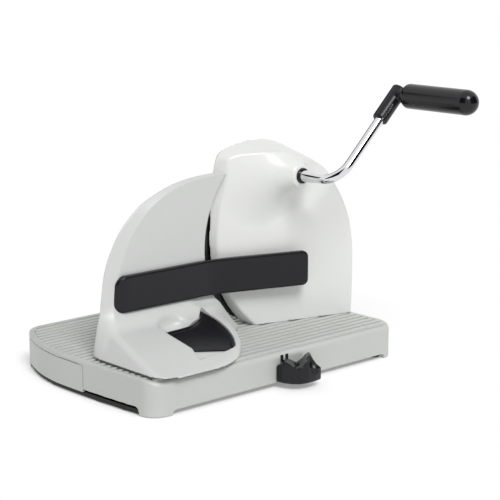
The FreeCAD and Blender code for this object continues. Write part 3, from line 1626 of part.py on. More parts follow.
def make_cup_yoke():
    """The frame round the cam that lifts the suction cup."""
    lifter = knob_z + s.cam_base_radius.value + s.cam_gap.value
    wall = s.yoke_wall.value
    half = s.yoke_half_width.value
    reach = s.cam_width.value / 2 + s.yoke_side_gap.value
    back = s.cup_place.value + reach
    front = s.cup_place.value - reach
    cup_top = s.cup_lift.value + s.cup_height.value
    frame = box(knob_x - half - wall, knob_x + half + wall, front, back, cup_top, lifter + wall)
    room = box(knob_x - half, knob_x + half, front - OVERCUT, back + OVERCUT, cup_top + wall, lifter)
    stud = cylinder(s.stud_radius.value, s.stud_length.value, knob_x, s.cup_place.value,
                    cup_top - s.stud_radius.value, UP)
    return frame.cut(room).fuse(stud)


shape_piece("suction_knob", make_knob())
shape_piece("cam_shaft", make_cam_shaft())
shape_piece("cup_yoke", make_cup_yoke())
stud_room = s.stud_radius + s.shaft_fit
turned("suction_cup", "upright", [
    (s.cup_lift + s.cup_hollow, 0),
    (s.cup_lift, s.cup_radius - s.cup_lip),
    (s.cup_lift, s.cup_radius),
    (s.cup_lift + s.cup_lip, s.cup_radius),
    (s.cup_lift + s.cup_height, s.cup_shoulder),
    (s.cup_lift + s.cup_height, stud_room),
    (s.cup_lift + s.cup_height - stud_room, stud_room),
    (s.cup_lift + s.cup_height - stud_room, 0),
], s.knob_x, s.cup_place, 0)


def make_marks():
    """Two raised black marks above the knob, moulded on one backing strip."""
    width = s.mark_width.value
    low = s.mark_bottom.value
    first = s.mark_first.value
    second = s.mark_second.value
    proud = s.mark_thickness.value
    marks = [box(x, x + width, -proud, 0, low, s.mark_top.value) for x in (first, second)]
    marks.append(box(first, second + width, -proud, 0, low, low + proud))
    return joined(marks)


shape_piece("knob_marks", make_marks())


# Check and export

def check(thing):
    """Stop if a piece did not come out as sound solids."""
    if thing.Shape.isNull() or not thing.Shape.isValid() or not thing.Shape.Solids:
        raise RuntimeError(f"{thing.Label} has no sound shape")


def main():
    """Recompute, check every object and write one file for each sub-part."""
    doc.recompute()
    for thing in doc.Objects:
        if "Invalid" in thing.State or "Error" in thing.State:
            raise RuntimeError(f"{thing.Label} failed: {thing.State}")
    os.makedirs("parts", exist_ok=True)
    for thing in PIECES:
        check(thing)
        thing.Shape.exportStep(f"parts/{thing.Label}.step")
    print(len(PIECES), "sub-parts written")


main()
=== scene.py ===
"""Looks of the hand cranked bread slicer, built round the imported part.

Shapes are drawn in millimetres in the corner frame of the base: X along the long side, Y away from
the crank side, Z up, from the front left corner of the base on the table. A moulded piece is a field:
a function that is negative inside the piece and grows with the distance from its surface.
"""
import json
import math

import bpy
import numpy as np
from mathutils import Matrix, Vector


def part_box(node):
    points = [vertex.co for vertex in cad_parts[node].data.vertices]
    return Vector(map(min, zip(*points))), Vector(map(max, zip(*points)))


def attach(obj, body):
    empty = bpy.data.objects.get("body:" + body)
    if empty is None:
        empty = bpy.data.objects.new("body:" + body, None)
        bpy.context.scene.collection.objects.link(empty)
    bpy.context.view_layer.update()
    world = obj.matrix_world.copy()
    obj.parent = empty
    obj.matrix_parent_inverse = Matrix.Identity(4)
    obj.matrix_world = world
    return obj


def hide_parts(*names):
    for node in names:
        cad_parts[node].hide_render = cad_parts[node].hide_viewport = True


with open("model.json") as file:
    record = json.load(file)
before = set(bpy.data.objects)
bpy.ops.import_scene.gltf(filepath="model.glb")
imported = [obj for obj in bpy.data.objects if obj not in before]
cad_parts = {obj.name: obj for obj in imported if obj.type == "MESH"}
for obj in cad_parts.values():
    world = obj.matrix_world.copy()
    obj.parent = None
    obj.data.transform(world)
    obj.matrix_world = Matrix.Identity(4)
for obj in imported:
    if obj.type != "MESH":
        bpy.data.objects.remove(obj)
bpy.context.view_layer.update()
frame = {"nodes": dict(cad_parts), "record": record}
nodes = frame["nodes"]

MM = 0.001
BASE_LENGTH = 320.0
base_low, base_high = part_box("base_shell")
CORNER = np.array([base_high.x - BASE_LENGTH * MM, base_low.y, 0.0])


# Numbers taken from the frame

def corner_box(node):
    """Lowest and highest corner of a node, in the corner frame in millimetres."""
    low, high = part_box(node)
    return (np.array(low) - CORNER) / MM, (np.array(high) - CORNER) / MM


def to_frame(points):
    """Corner frame millimetres to the part's own frame in metres."""
    return np.asarray(points, float) * MM + CORNER


def middle(node, axis):
    """Middle of a node's box along one axis, in the corner frame."""
    low, high = corner_box(node)
    return (low[axis] + high[axis]) / 2


DECK = corner_box("base_shell")[1][2]
BLADE_X = middle("blade", 0)
CRANK_Z = middle("crank_bush", 2)
GUIDE_LOW, GUIDE_HIGH = corner_box("guide_plate")
FIN_BACK = GUIDE_HIGH[1]
HOUSING_BACK = corner_box("housing_shell")[1][1]


# Fields

def ease(value, low, high):
    """Rises smoothly from 0 to 1 between two values."""
    t = np.clip((value - low) / (high - low), 0, 1)
    return t * t * (3 - 2 * t)


def overlap(*fields):
    """Inside all of the fields."""
    result = fields[0]
    for field in fields[1:]:
        result = np.maximum(result, field)
    return result


def rounded_overlap(a, b, radius):
    """Inside both fields, with the outer edge between them rounded."""
    corner = np.hypot(np.maximum(a + radius, 0), np.maximum(b + radius, 0))
    return np.minimum(np.maximum(a, b), -radius) + corner


def rounded_union(a, b, radius):
    """Inside either field, with a fillet in the inner edge between them."""
    return -rounded_overlap(-a, -b, radius)


def rounded_cut(a, b, radius):
    """Inside the first field but not the second, with the rim rounded."""
    return rounded_overlap(a, -b, radius)


def soft_union(a, b, width):
    """Inside either field, melted together over a width."""
    blend = np.clip(0.5 + 0.5 * (b - a) / width, 0, 1)
    return b + (a - b) * blend - width * blend * (1 - blend)


def soft_cut(a, b, width):
    """Inside the first field but not the second, melted over a width."""
    return -soft_union(-a, b, width)


def slab(value, low, high):
    """Between two values of one coordinate."""
    return np.maximum(low - value, value - high)


def rectangle(u, v, u0, u1, v0, v1, radius):
    """A rectangle with round corners."""
    du = np.abs(u - (u0 + u1) / 2) - (u1 - u0) / 2 + radius
    dv = np.abs(v - (v0 + v1) / 2) - (v1 - v0) / 2 + radius
    outside = np.hypot(np.maximum(du, 0), np.maximum(dv, 0))
    return outside + np.minimum(np.maximum(du, dv), 0) - radius


def ellipsoid(x, y, z, centre, radii):
    """Roughly the distance to an ellipsoid."""
    u = (x - centre[0]) / radii[0]
    v = (y - centre[1]) / radii[1]
    w = (z - centre[2]) / radii[2]
    reach = np.sqrt(u * u + v * v + w * w) + 1e-9
    spread = np.sqrt((u / radii[0]) ** 2 + (v / radii[1]) ** 2 + (w / radii[2]) ** 2) + 1e-9
    return reach * (reach - 1) / spread


def curve(points, steps=5):
    """A smooth line through the points, as a list of more points."""
    points = [np.array(point, float) for point in points]
    chain = [2 * points[0] - points[1]] + points + [2 * points[-1] - points[-2]]
    line = []
    for before, start, end, after in zip(chain, chain[1:], chain[2:], chain[3:]):
        for step in range(steps):
            t = step / steps
            line.append(0.5 * (2 * start + (end - before) * t
                               + (2 * before - 5 * start + 4 * end - after) * t ** 2
                               + (3 * start - before - 3 * end + after) * t ** 3))
    line.append(points[-1])
    return [tuple(point) for point in line]


def arc(centre, radius, start, end, steps=10):
    """Points along a circular arc, by angles in degrees."""
    return [(centre[0] + radius * math.cos(math.radians(start + (end - start) * step / steps)),
             centre[1] + radius * math.sin(math.radians(start + (end - start) * step / steps)))
            for step in range(steps + 1)]


def polygon(u, v, points):
    """Signed distance to a closed outline."""
    u, v = np.broadcast_arrays(u, v)
    nearest = np.full(u.shape, 1e9)
    inside = np.zeros(u.shape, bool)
    for (u0, v0), (u1, v1) in zip(points, points[1:] + points[:1]):
        eu, ev = u1 - u0, v1 - v0
        length = eu * eu + ev * ev
        if length < 1e-12:
            continue
        wu, wv = u - u0, v - v0
        along = np.clip((wu * eu + wv * ev) / length, 0, 1)
        nearest = np.minimum(nearest, (wu - eu * along) ** 2 + (wv - ev * along) ** 2)
        if ev != 0:
            crossing = (v0 > v) != (v1 > v)
            inside ^= crossing & (wu < eu * wv / ev)
    return np.where(inside, -1, 1) * np.sqrt(nearest)


# From fields to meshes

CORNERS = [(i, j, k) for i in (0, 1) for j in (0, 1) for k in (0, 1)]
EDGES = [(a, b) for a in CORNERS for b in CORNERS if a < b and sum(np.abs(np.subtract(a, b))) == 1]
CELL_RING = [(-1, -1), (0, -1), (0, 0), (-1, 0)]
PROBE = 0.2
SETTLING_ROUNDS = 3
FLATTEST = 0.05
REACH_IN_CELLS = 0.8


def spread(*stops):
    """Grid positions that run through (place, step) stops, the last one a bare place."""
    line = []
    for (start, step), after in zip(stops, stops[1:]):
        end = after[0] if isinstance(after, tuple) else after
        count = max(1, round((end - start) / step))
        line.extend(start + (end - start) * n / count for n in range(count))
    line.append(stops[-1])
    return np.array(line, float)


def slope_of(field, points):
    """Gradient of a field at a list of points."""
    slope = np.empty_like(points)
    for axis in range(3):
        ahead = points.copy()
        behind = points.copy()
        ahead[:, axis] += PROBE
        behind[:, axis] -= PROBE
        slope[:, axis] = (field(*ahead.T) - field(*behind.T)) / (2 * PROBE)
    return slope


def net_points(values, axes, cells):
    """One point in each cell that the surface passes through, midway between its edge crossings."""
    total = np.zeros((len(cells[0]), 3))
    hits = np.zeros(len(cells[0]))
    for a, b in EDGES:
        at_a = tuple(cell + offset for cell, offset in zip(cells, a))
        at_b = tuple(cell + offset for cell, offset in zip(cells, b))
        value_a, value_b = values[at_a], values[at_b]
        crosses = (value_a < 0) != (value_b < 0)
        share = np.where(crosses, value_a / np.where(crosses, value_a - value_b, 1), 0)
        for axis in range(3):
            start = axes[axis][at_a[axis]]
            end = axes[axis][at_b[axis]]
            total[:, axis] += np.where(crosses, start + (end - start) * share, 0)
        hits += crosses
    return total / hits[:, None]


def net_faces(inside, index):
    """One quad round each grid edge that crosses the surface."""
    quads = []
    for axis in range(3):
        first = np.moveaxis(inside, axis, 0)
        ids = np.moveaxis(index, axis, 0)
        changed = first[:-1, 1:-1, 1:-1] != first[1:, 1:-1, 1:-1]
        i, j, k = np.nonzero(changed)
        ring = [ids[i, j + 1 + dj, k + 1 + dk] for dj, dk in CELL_RING]
        quad = np.stack(ring, axis=1)
        turned = first[i, j + 1, k + 1] != (axis == 1)
        quad[~turned] = quad[~turned][:, ::-1]
        quads.append(quad)
    return np.concatenate(quads)


def mesh_piece(name, points, faces, normals=None):
    """A new object from corner frame points and faces, smooth where it is given normals."""
    mesh = bpy.data.meshes.new(name)
    mesh.from_pydata(to_frame(points).tolist(), [], faces)
    mesh.polygons.foreach_set("use_smooth", np.full(len(mesh.polygons), normals is not None))
    mesh.update()
    if normals is not None:
        mesh.normals_split_custom_set_from_vertices(normals.tolist())
    piece = bpy.data.objects.new(name, mesh)
    bpy.context.scene.collection.objects.link(piece)
    return piece


def moulded(name, field, xs, ys, zs):
    """A mesh of the surface where the field is zero, with true normals."""
    shape = (len(xs), len(ys), len(zs))
    values = np.array(np.broadcast_to(
        field(xs[:, None, None], ys[None, :, None], zs[None, None, :]), shape))
    inside = values < 0
    count = np.zeros([n - 1 for n in shape], np.int8)
    for i, j, k in CORNERS:
        count += inside[i:shape[0] - 1 + i, j:shape[1] - 1 + j, k:shape[2] - 1 + k]
    active = (count > 0) & (count < len(CORNERS))
    index = np.full(active.shape, -1)
    index[active] = np.arange(active.sum())
    cells = np.nonzero(active)
    axes = (xs, ys, zs)
    points = net_points(values, axes, cells)
    room = np.stack([np.diff(axis)[cell] for axis, cell in zip(axes, cells)], axis=1)
    start = points.copy()
    for _ in range(SETTLING_ROUNDS):
        slope = slope_of(field, points)
        steep = np.maximum((slope ** 2).sum(axis=1), FLATTEST)
        points -= slope * (field(*points.T) / steep)[:, None]
        points = np.clip(points, start - room * REACH_IN_CELLS, start + room * REACH_IN_CELLS)
    slope = slope_of(field, points)
    normals = slope / (np.linalg.norm(slope, axis=1)[:, None] + 1e-9)
    return mesh_piece(name, points, net_faces(inside, index).tolist(), normals)


# Finishes

def finish_of(name, color, rough, metal=0.0):
    """A new material with its plain shader values set, and its node tree."""
    material = bpy.data.materials.new(name)
    material.use_nodes = True
    shader = material.node_tree.nodes["Principled BSDF"]
    shader.inputs["Base Color"].default_value = (*color, 1)
    shader.inputs["Roughness"].default_value = rough
    shader.inputs["Metallic"].default_value = metal
    return material, shader


def noise_of(material, size, detail=3.0, stretch=(1, 1, 1)):
    """Noise whose grains have the given size in millimetres, fixed to the object."""
    tree = material.node_tree
    place = tree.nodes.new("ShaderNodeTexCoord")
    scale = tree.nodes.new("ShaderNodeMapping")
    scale.inputs["Scale"].default_value = stretch
    noise = tree.nodes.new("ShaderNodeTexNoise")
    noise.inputs["Scale"].default_value = 1 / (size * MM)
    noise.inputs["Detail"].default_value = detail
    tree.links.new(place.outputs["Object"], scale.inputs["Vector"])
    tree.links.new(scale.outputs["Vector"], noise.inputs["Vector"])
    return noise


def vary_roughness(material, shader, noise, low, high):
    """Let the noise move the roughness between two values."""
    band = material.node_tree.nodes.new("ShaderNodeMapRange")
    band.inputs["From Min"].default_value = 0.3
    band.inputs["From Max"].default_value = 0.7
    band.inputs["To Min"].default_value = low
    band.inputs["To Max"].default_value = high
    material.node_tree.links.new(noise.outputs["Fac"], band.inputs["Value"])
    material.node_tree.links.new(band.outputs["Result"], shader.inputs["Roughness"])


def vary_color(material, shader, noise, dark, light):
    """Let the noise move the colour between two values."""
    mix = material.node_tree.nodes.new("ShaderNodeMix")
    mix.data_type = "RGBA"
    mix.inputs["A"].default_value = (*dark, 1)
    mix.inputs["B"].default_value = (*light, 1)
    material.node_tree.links.new(noise.outputs["Fac"], mix.inputs["Factor"])
    material.node_tree.links.new(mix.outputs["Result"], shader.inputs["Base Color"])


def grain(material, shader, noise, depth):
    """Raise the noise as a fine grain, its depth in millimetres."""
    bump = material.node_tree.nodes.new("ShaderNodeBump")
    bump.inputs["Distance"].default_value = depth * MM
    bump.inputs["Strength"].default_value = 1.0
    material.node_tree.links.new(noise.outputs["Fac"], bump.inputs["Height"])
    material.node_tree.links.new(bump.outputs["Normal"], shader.inputs["Normal"])


def plastic(name, dark, light, rough, grain_size, grain_depth, shine=0.5):
    """Moulded plastic with slight cloudiness, uneven gloss and a fine grain."""
    material, shader = finish_of(name, light, rough)
    shader.inputs["Specular IOR Level"].default_value = shine
    vary_color(material, shader, noise_of(material, 60, 2.0), dark, light)
    vary_roughness(material, shader, noise_of(material, 30, 2.0), rough * 0.96, rough * 1.04)
    grain(material, shader, noise_of(material, grain_size, 2.0), grain_depth)
    return material


def metal(name, dark, light, rough, stretch=(1, 1, 1), size=3.0, depth=0.004):
    """Metal with fine marks drawn out along one axis."""
    material, shader = finish_of(name, light, rough, metal=1.0)
    marks = noise_of(material, size, 6.0, stretch)
    vary_color(material, shader, marks, dark, light)
    vary_roughness(material, shader, marks, rough * 0.7, rough * 1.3)
    grain(material, shader, marks, depth)
    return material


HOUSING_WHITE = plastic("bright_white", (0.84, 0.85, 0.83), (0.88, 0.89, 0.87), 0.24, 1.6, 0.002)
GUIDE_WHITE = plastic("pearl_white", (0.67, 0.68, 0.67), (0.69, 0.70, 0.69), 0.34, 1.4, 0.001)
BASE_WHITE = plastic("satin_white", (0.57, 0.59, 0.56), (0.61, 0.63, 0.60), 0.38, 1.1, 0.006)
SHELL_BLACK = plastic("grained_black", (0.012, 0.012, 0.013), (0.018, 0.018, 0.02), 0.5, 0.7, 0.02, 0.25)
GLOSS_BLACK = plastic("polished_black", (0.008, 0.008, 0.011), (0.011, 0.011, 0.014), 0.25, 1.5, 0.001, 0.3)
GRIP_BLACK = plastic("grip_black", (0.005, 0.005, 0.007), (0.008, 0.008, 0.01), 0.16, 2.0, 0.002, 0.4)
RUBBER = plastic("soft_rubber", (0.01, 0.01, 0.01), (0.016, 0.016, 0.016), 0.75, 0.5, 0.03, 0.2)
NYLON = plastic("gear_nylon", (0.66, 0.65, 0.60), (0.74, 0.73, 0.68), 0.45, 0.8, 0.01)
CHROME = metal("bright_chrome", (0.70, 0.70, 0.72), (0.76, 0.76, 0.78), 0.06, (1, 1, 1), 20.0, 0.0005)
# Blade steel drawn near black, so the blade shows dark in the narrow gap beside the guide and the housing.
BLADE_STEEL = metal("near_black_blade_steel", (0.05, 0.05, 0.053), (0.08, 0.08, 0.083), 0.34, (1, 20, 1), 2.0)
FRAME_STEEL = metal("sheet_steel", (0.42, 0.42, 0.43), (0.52, 0.52, 0.53), 0.35, (8, 1, 1), 3.0)
TURNED_STEEL = metal("turned_steel", (0.45, 0.45, 0.46), (0.55, 0.55, 0.56), 0.28, (1, 12, 1), 1.5)
SCREW_STEEL = metal("zinc_plate", (0.40, 0.40, 0.41), (0.50, 0.50, 0.52), 0.35, (1, 1, 1), 1.0)

NODE_FINISH = {
    "white_shell": BASE_WHITE,
    "black_shell": SHELL_BLACK,
    "black_acetal": SHELL_BLACK,
    "gloss_black": GLOSS_BLACK,
    "mark_black": SHELL_BLACK,
    "soft_rubber": RUBBER,
    "chromed_rod": CHROME,
    "blade_steel": BLADE_STEEL,
    "frame_steel": FRAME_STEEL,
    "turned_steel": TURNED_STEEL,
    "screw_steel": SCREW_STEEL,
    "gear_nylon": NYLON,
}


def dress(piece, material, body, slot, *replaced):
    """Give a piece its finish, its body and the nodes that it stands for. The slot argument is not used."""
    piece.data.materials.clear()
    piece.data.materials.append(material)
    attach(piece, body)
    if replaced:
        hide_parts(*replaced)
    return piece


# Guide: upright plate and foot

FIN_THICKNESS = 6.0
FIN_OUTLINE = curve([(13.8, 30.0), (15.6, 62.0), (18.7, 91.0), (23.7, 119.0), (32.7, 139.5), (44.8, 157.5),
                     (63.8, 174.5), (82.0, 184.0), (107.0, 192.6), (132.0, 196.8), (150.0, 198.0),
                     (162.0, 198.2)]) + [(240.0, 198.2), (240.0, 30.0)]
FIN_FACE = curve([(16.0, 42.0), (22.5, 62.0), (28.5, 80.0), (35.0, 110.0), (43.0, 130.0), (54.0, 151.0),
                  (69.6, 168.0), (82.2, 177.5), (100.0, 186.5), (119.3, 192.4), (138.4, 195.4),
                  (162.0, 196.8)]) + [(260.0, 196.8), (260.0, -60.0), (16.0, -60.0)]
BEVEL_DEPTH = 5.0
FIN_FACE_EDGE = 0.5
FIN_RIM_EDGE = 0.9
FIN_CUT_EDGE = 1.0
EDGE_CENTRE = (254.0, 122.0)
EDGE_RADIUS = 110.0
FOOT_UNDER = GUIDE_LOW[2]
FOOT_PLAN = (curve([(2.4, 60.0), (1.8, 34.0), (2.4, 10.0), (5.0, 0.5), (10.5, -6.5), (22.5, -11.0),
                    (46.0, -11.0), (72.0, -10.0), (91.0, -5.0), (113.0, 8.5), (132.5, 26.0)])
             + [(190.0, 107.0), (22.4, 107.0), (22.4, 100.0)]
             + arc((22.4, 78.0), 20.0, 90, 180, 6))
FOOT_SLOPE = 0.30
FOOT_LEVEL = 45.5
FOOT_LEVEL_PLACE = 20.0
FOOT_TOP_EDGE = 6.5
FOOT_SIDE_EDGE = 5.0
FOOT_FILLET = 20.0
FLANK_START = 3.0
FLANK_LEAN = 0.56
SIDE_LEAN = 0.12
RIGHT_LEAN = 0.5
END_GAP = 2.0
END_GAP_PLACE = 2.0
END_GAP_WIDTH = 22.0
PIVOT = (60.0, 66.0)
LEVER_LEVEL = 57.8
LEVER_REACH = 75.0


def room_for_blade(x, z):
    """Outside the round cut that leaves room for the blade and the housing."""
    return EDGE_RADIUS - np.hypot(x - EDGE_CENTRE[0], z - EDGE_CENTRE[1])


def fin_field(x, y, z):
    """The upright plate, with its bevelled left and top edge and the round cut beside the blade."""
    outer = polygon(x, z, FIN_OUTLINE)
    ramp = np.maximum(polygon(x, z, FIN_FACE), 0)
    share = np.clip(ramp / np.maximum(ramp - outer, 0.01), 0, 1)
    front = FIN_BACK - FIN_THICKNESS + BEVEL_DEPTH * share
    plate = rounded_overlap(front - y, y - FIN_BACK, FIN_FACE_EDGE)
    plate = rounded_overlap(plate, outer, FIN_RIM_EDGE)
    beside_blade = room_for_blade(x, z)
    return rounded_overlap(plate, beside_blade, FIN_CUT_EDGE)


def foot_field(x, y, z):
    """The foot: a leaning flank on the left, a round nose and a gentle slope up to the plate."""
    rise = z - FOOT_UNDER
    lean = SIDE_LEAN + RIGHT_LEAN * ease(y, 30.0, 85.0) * ease(x, 100.0, 140.0)
    side = polygon(x, y, FOOT_PLAN) + lean * rise
    flank = (FLANK_START + FLANK_LEAN * rise - x) / math.hypot(1, FLANK_LEAN)
    top = (z - FOOT_LEVEL - FOOT_SLOPE * (y - FOOT_LEVEL_PLACE)) / math.hypot(1, FOOT_SLOPE)
    beside_blade = room_for_blade(x, z)
    body = rounded_overlap(side, top, FOOT_TOP_EDGE)
    body = rounded_overlap(body, flank, FOOT_SIDE_EDGE)
    body = rounded_overlap(body, beside_blade, FOOT_SIDE_EDGE)
    return overlap(body, y - FIN_BACK)


def on_slope(x, y, z):
    """Coordinates along the lever's plane, with the pivot as origin: across, up the slope and above it."""
    tilt = math.atan(FOOT_SLOPE)
    up = (y - PIVOT[1]) * math.cos(tilt) + (z - LEVER_LEVEL) * math.sin(tilt)
    above = (z - LEVER_LEVEL) * math.cos(tilt) - (y - PIVOT[1]) * math.sin(tilt)
    return x - PIVOT[0], up, above


LEVER_OUTLINE = ([(8.0, -3.0), (13.5, -36.0), (54.5, -49.5), (58.7, -46.7)]
                 + arc((0, 0), LEVER_REACH, -38.5, 17.5, 12)[1:]
                 + curve([(67.0, 15.6), (59.0, 9.0), (50.0, 4.5), (41.0, 2.0), (26.0, 1.0),
                          (13.0, 0.5)])[1:])
RECESS_DEPTH = 4.0
RECESS_EDGE = 0.6
RECESS_GAP = 0.8
RECESS_OUTLINE = ([(8.0, -3.0), (13.0, -37.0), (8.5, -50.0), (7.0, -56.0), (30.0, -55.0), (52.0, -51.0)]
                  + arc((0, 0), LEVER_REACH + RECESS_GAP, -38.5, 17.5, 12)
                  + [(59.0, 9.5), (41.0, 2.5), (13.0, 1.0)])
HOLLOW_CENTRE = (86.0, 72.0, 63.0)
HOLLOW_RADII = (17.0, 12.5, 10.5)
HOLLOW_BLEND = 4.0


def guide_field(x, y, z):
    """Plate and foot in one, with the lever's recess and the finger hollow beside it."""
    body = rounded_union(fin_field(x, y, z), foot_field(x, y, z), FOOT_FILLET)
    body = overlap(body, y - FIN_BACK)
    body = soft_cut(body, ellipsoid(x, y, z, HOLLOW_CENTRE, HOLLOW_RADII), HOLLOW_BLEND)
    across, up, above = on_slope(x, y, z)
    recess = overlap(polygon(across, up, RECESS_OUTLINE), -above - RECESS_DEPTH)
    body = rounded_cut(body, recess, RECESS_EDGE)
    gap = END_GAP * np.exp(-((x - END_GAP_PLACE) / END_GAP_WIDTH) ** 2)
    return overlap(body, FOOT_UNDER + gap - z)


# Gear housing

LEFT_CENTRE = (284.5, 130.0)
LEFT_RADIUS = 122.8
EDGE_DEPTH = 9.0
WEDGE_SLOPE = math.tan(math.radians(14.5))
REAR_OUTLINE = (arc(LEFT_CENTRE, LEFT_RADIUS, 232, 176, 20)
                + curve([(163.5, 165.0), (166.0, 190.0), (168.3, 204.0), (172.8, 213.5), (181.0, 218.8),
                         (196.0, 222.6), (209.0, 224.2), (222.0, 224.6), (236.0, 224.2), (249.0, 221.6),
                         (262.0, 216.6), (275.0, 209.6), (287.5, 200.0), (297.5, 184.0), (306.0, 165.0),
                         (312.5, 145.0), (315.6, 128.0), (317.0, 112.0), (318.0, 90.0), (318.2, 60.0)])
                + [(318.2, 20.0)])
FACE_OUTLINE = (arc((283.0, 125.0), 118.0, 232, 172, 20)
                + curve([(168.5, 163.0), (171.0, 178.0), (173.0, 195.0), (173.5, 205.0), (175.5, 211.0),
                         (184.9, 215.6), (201.1, 217.8), (217.6, 218.2), (234.3, 216.4), (245.6, 213.4),
                         (256.7, 209.9), (267.9, 204.6), (279.3, 197.4), (287.2, 189.6), (298.7, 171.4),
                         (305.7, 157.1), (311.6, 140.7), (314.6, 126.6), (316.4, 112.0), (317.3, 90.0),
                         (317.5, 60.0)])
                + [(317.5, 20.0)])
BOSS_FRONT = 50.0
BOSS_TIP = 10.6
BOSS_SLOPE = 0.5
BOSS_LEFT_SLOPE = 0.35
BOSS_EDGE = 2.5
BOSS_FILLET = 18.0
HOUSING_EDGE = 2.2
HOUSING_WALL = 3.5
HOUSING_SWELL = 3.0
SWELL_LEVEL = 125.0
SWELL_HALF = 110.0
INSIDE_FRONT = 60.0
SHAFT_BORE = 6.6
BORE_BACK = 120.0


def housing_field(x, y, z):
    """The domed wedge with its conical boss."""
    face = HOUSING_BACK - EDGE_DEPTH - WEDGE_SLOPE * (x - (LEFT_CENTRE[0] - LEFT_RADIUS))
    face = face - HOUSING_SWELL * (1 - ((z - SWELL_LEVEL) / SWELL_HALF) ** 2) * ease(x, 162, 200)
    share = np.clip((HOUSING_BACK - y) / (HOUSING_BACK - face), 0, 1.2)
    side = (1 - share) * polygon(x, z, REAR_OUTLINE) + share * polygon(x, z, FACE_OUTLINE)
    front = (face - y) / math.hypot(1, WEDGE_SLOPE)
    reach = np.hypot(x - BLADE_X, z - CRANK_Z)
    left_side = ease(BLADE_X + 8.0 - x, 0.0, 40.0)
    slope = BOSS_SLOPE + BOSS_LEFT_SLOPE * left_side
    cone = (reach - BOSS_TIP - slope * (y - BOSS_FRONT)) / np.hypot(1, slope)
    boss = rounded_overlap(cone, BOSS_FRONT - y, BOSS_EDGE)
    body = rounded_overlap(side, rounded_union(front, boss, BOSS_FILLET), HOUSING_EDGE)
    body = overlap(body, y - HOUSING_BACK, DECK - z)
    inner = overlap(side + HOUSING_WALL, INSIDE_FRONT - y, front + HOUSING_WALL)
    bore = overlap(reach - SHAFT_BORE, y - BORE_BACK)
    return overlap(body, -inner, -bore)


# Base

PLAN = (arc((18.07, 18.0), 18.0, 185.19, 270, 10)
        + arc((308.0, 12.0), 12.0, 270, 360, 8)
        + arc((308.0, 225.0), 12.0, 0, 90, 8)
        + arc((43.57, 209.0), 28.0, 90, 150.8, 10)
        + arc((185.0, 130.0), 190.0, 150.8, 180, 24)
        + arc((1251.9, 130.0), 1256.9, 180, 185.19, 12))


RIB_START = 2.2
RIB_FIRST = 8.9
RIB_PITCH = 8.94
RIB_COUNT = 25
RIB_WIDTH = 4.7
RIB_MARGIN = 5.5
RIB_DEPTH = 3.2
RIB_EDGE = 0.6
RIB_SINK = 0.3
RIB_FOOT = 0.2
BASE_EDGE = 1.6
BEVEL_EDGE = 3.0
BEVEL_LEVEL = 31.5
BEVEL_SLOPE = 0.375
BASE_WALL = 3.0
DECK_WALL = 4.5
BASE_BOTTOM = 0.8
SKIRT_LEFT, SKIRT_RIGHT, SKIRT_TOP = 24.0, 307.0, 5.0
END_FRONT, END_BACK = 20.0, 216.0
SKIRT_CORNER = 4.5
FAR_DOWN = -40.0
BOTTOM_FRONT = 14.0
STRIP_TOP = 8.2
BAY_START = 99.5
BAY_END = 214.0
BAY_LOW, BAY_HIGH, BAY_CORNER, BAY_REACH = 5.0, 32.0, 2.0, 60.0


def base_field(x, y, z):
    """The white base: skirt with corner feet, rim, lowered deck, drawer bay and hollow underside."""
    plan = polygon(x, y, PLAN)
    bevel = (z - (BEVEL_LEVEL + BEVEL_SLOPE * y)) / math.hypot(1, BEVEL_SLOPE)
    rows = overlap(plan + RIB_MARGIN, RIB_START - y)
    outer = rounded_overlap(plan, z - DECK, BASE_EDGE)
    outer = rounded_overlap(outer, bevel, BEVEL_EDGE)
    outer = overlap(outer, -overlap(rows, DECK - RIB_DEPTH - z))
    hollow = overlap(plan + BASE_WALL, z - (DECK - DECK_WALL) + 4.0 * (1 - ease(y, 8.0, 16.0)))
    skirt = rectangle(x, z, SKIRT_LEFT, SKIRT_RIGHT, FAR_DOWN, SKIRT_TOP, SKIRT_CORNER)
    skirt = np.maximum(skirt, 0)
    end = rectangle(y, z, END_FRONT, END_BACK, FAR_DOWN, STRIP_TOP, SKIRT_CORNER)
    end = overlap(end, x - BAY_REACH)
    bay = rectangle(y, z, BAY_START, BAY_END, BAY_LOW, BAY_HIGH, BAY_CORNER)
    bay = overlap(bay, x - BAY_REACH)
    return overlap(outer, BASE_BOTTOM - z, -hollow, -skirt, -end, -bay)


def plan_crossing(y, inset):
    """Where the base's outline, moved in by the inset, starts and ends along one row."""
    across = np.arange(-6.0, BASE_LENGTH, 0.05)
    inside = polygon(across, np.full(across.shape, y), PLAN) < -inset
    return across[inside][0], across[inside][-1]


def make_ribs():
    """The deck's ribs: flat bars with broken edges, between the front groove and the rear rim."""
    points, faces = [], []
    half = RIB_WIDTH / 2
    low = DECK - RIB_DEPTH - RIB_FOOT
    section = [(-half, low), (-half, DECK - RIB_EDGE), (RIB_EDGE - half, DECK), (half - RIB_EDGE, DECK),
               (half, DECK - RIB_EDGE), (half, low)]
    for row in range(RIB_COUNT):
        y = RIB_FIRST + row * RIB_PITCH
        left, right = plan_crossing(y, RIB_MARGIN - RIB_SINK)
        first = len(points)
        points += [(x, y + out, z) for x in (left, right) for out, z in section]
        count = len(section)
        faces += [(first + i, first + (i + 1) % count, first + count + (i + 1) % count, first + count + i)
                  for i in range(count)]
        faces.append(tuple(first + i for i in reversed(range(count))))
        faces.append(tuple(first + count + i for i in range(count)))
    return mesh_piece("deck_ribs", np.array(points), faces)


BOTTOM_INSET = 3.4
BOTTOM_LOW, BOTTOM_HIGH, BOTTOM_EDGE = 1.0, 5.0, 0.6
STRIP_INSET = 1.2
STRIP_REACH = 28.0
STRIP_GAP = 0.5
CUP_PLACE = (172.0, 55.0)
CUP_MOUTH = 35.0
HEAD_RADIUS = 3.3
HEAD_TOP = 3.1
SCREW_PLACES = [(34.0, 22.0), (290.0, 22.0), (290.0, 214.0), (150.0, 214.0)]


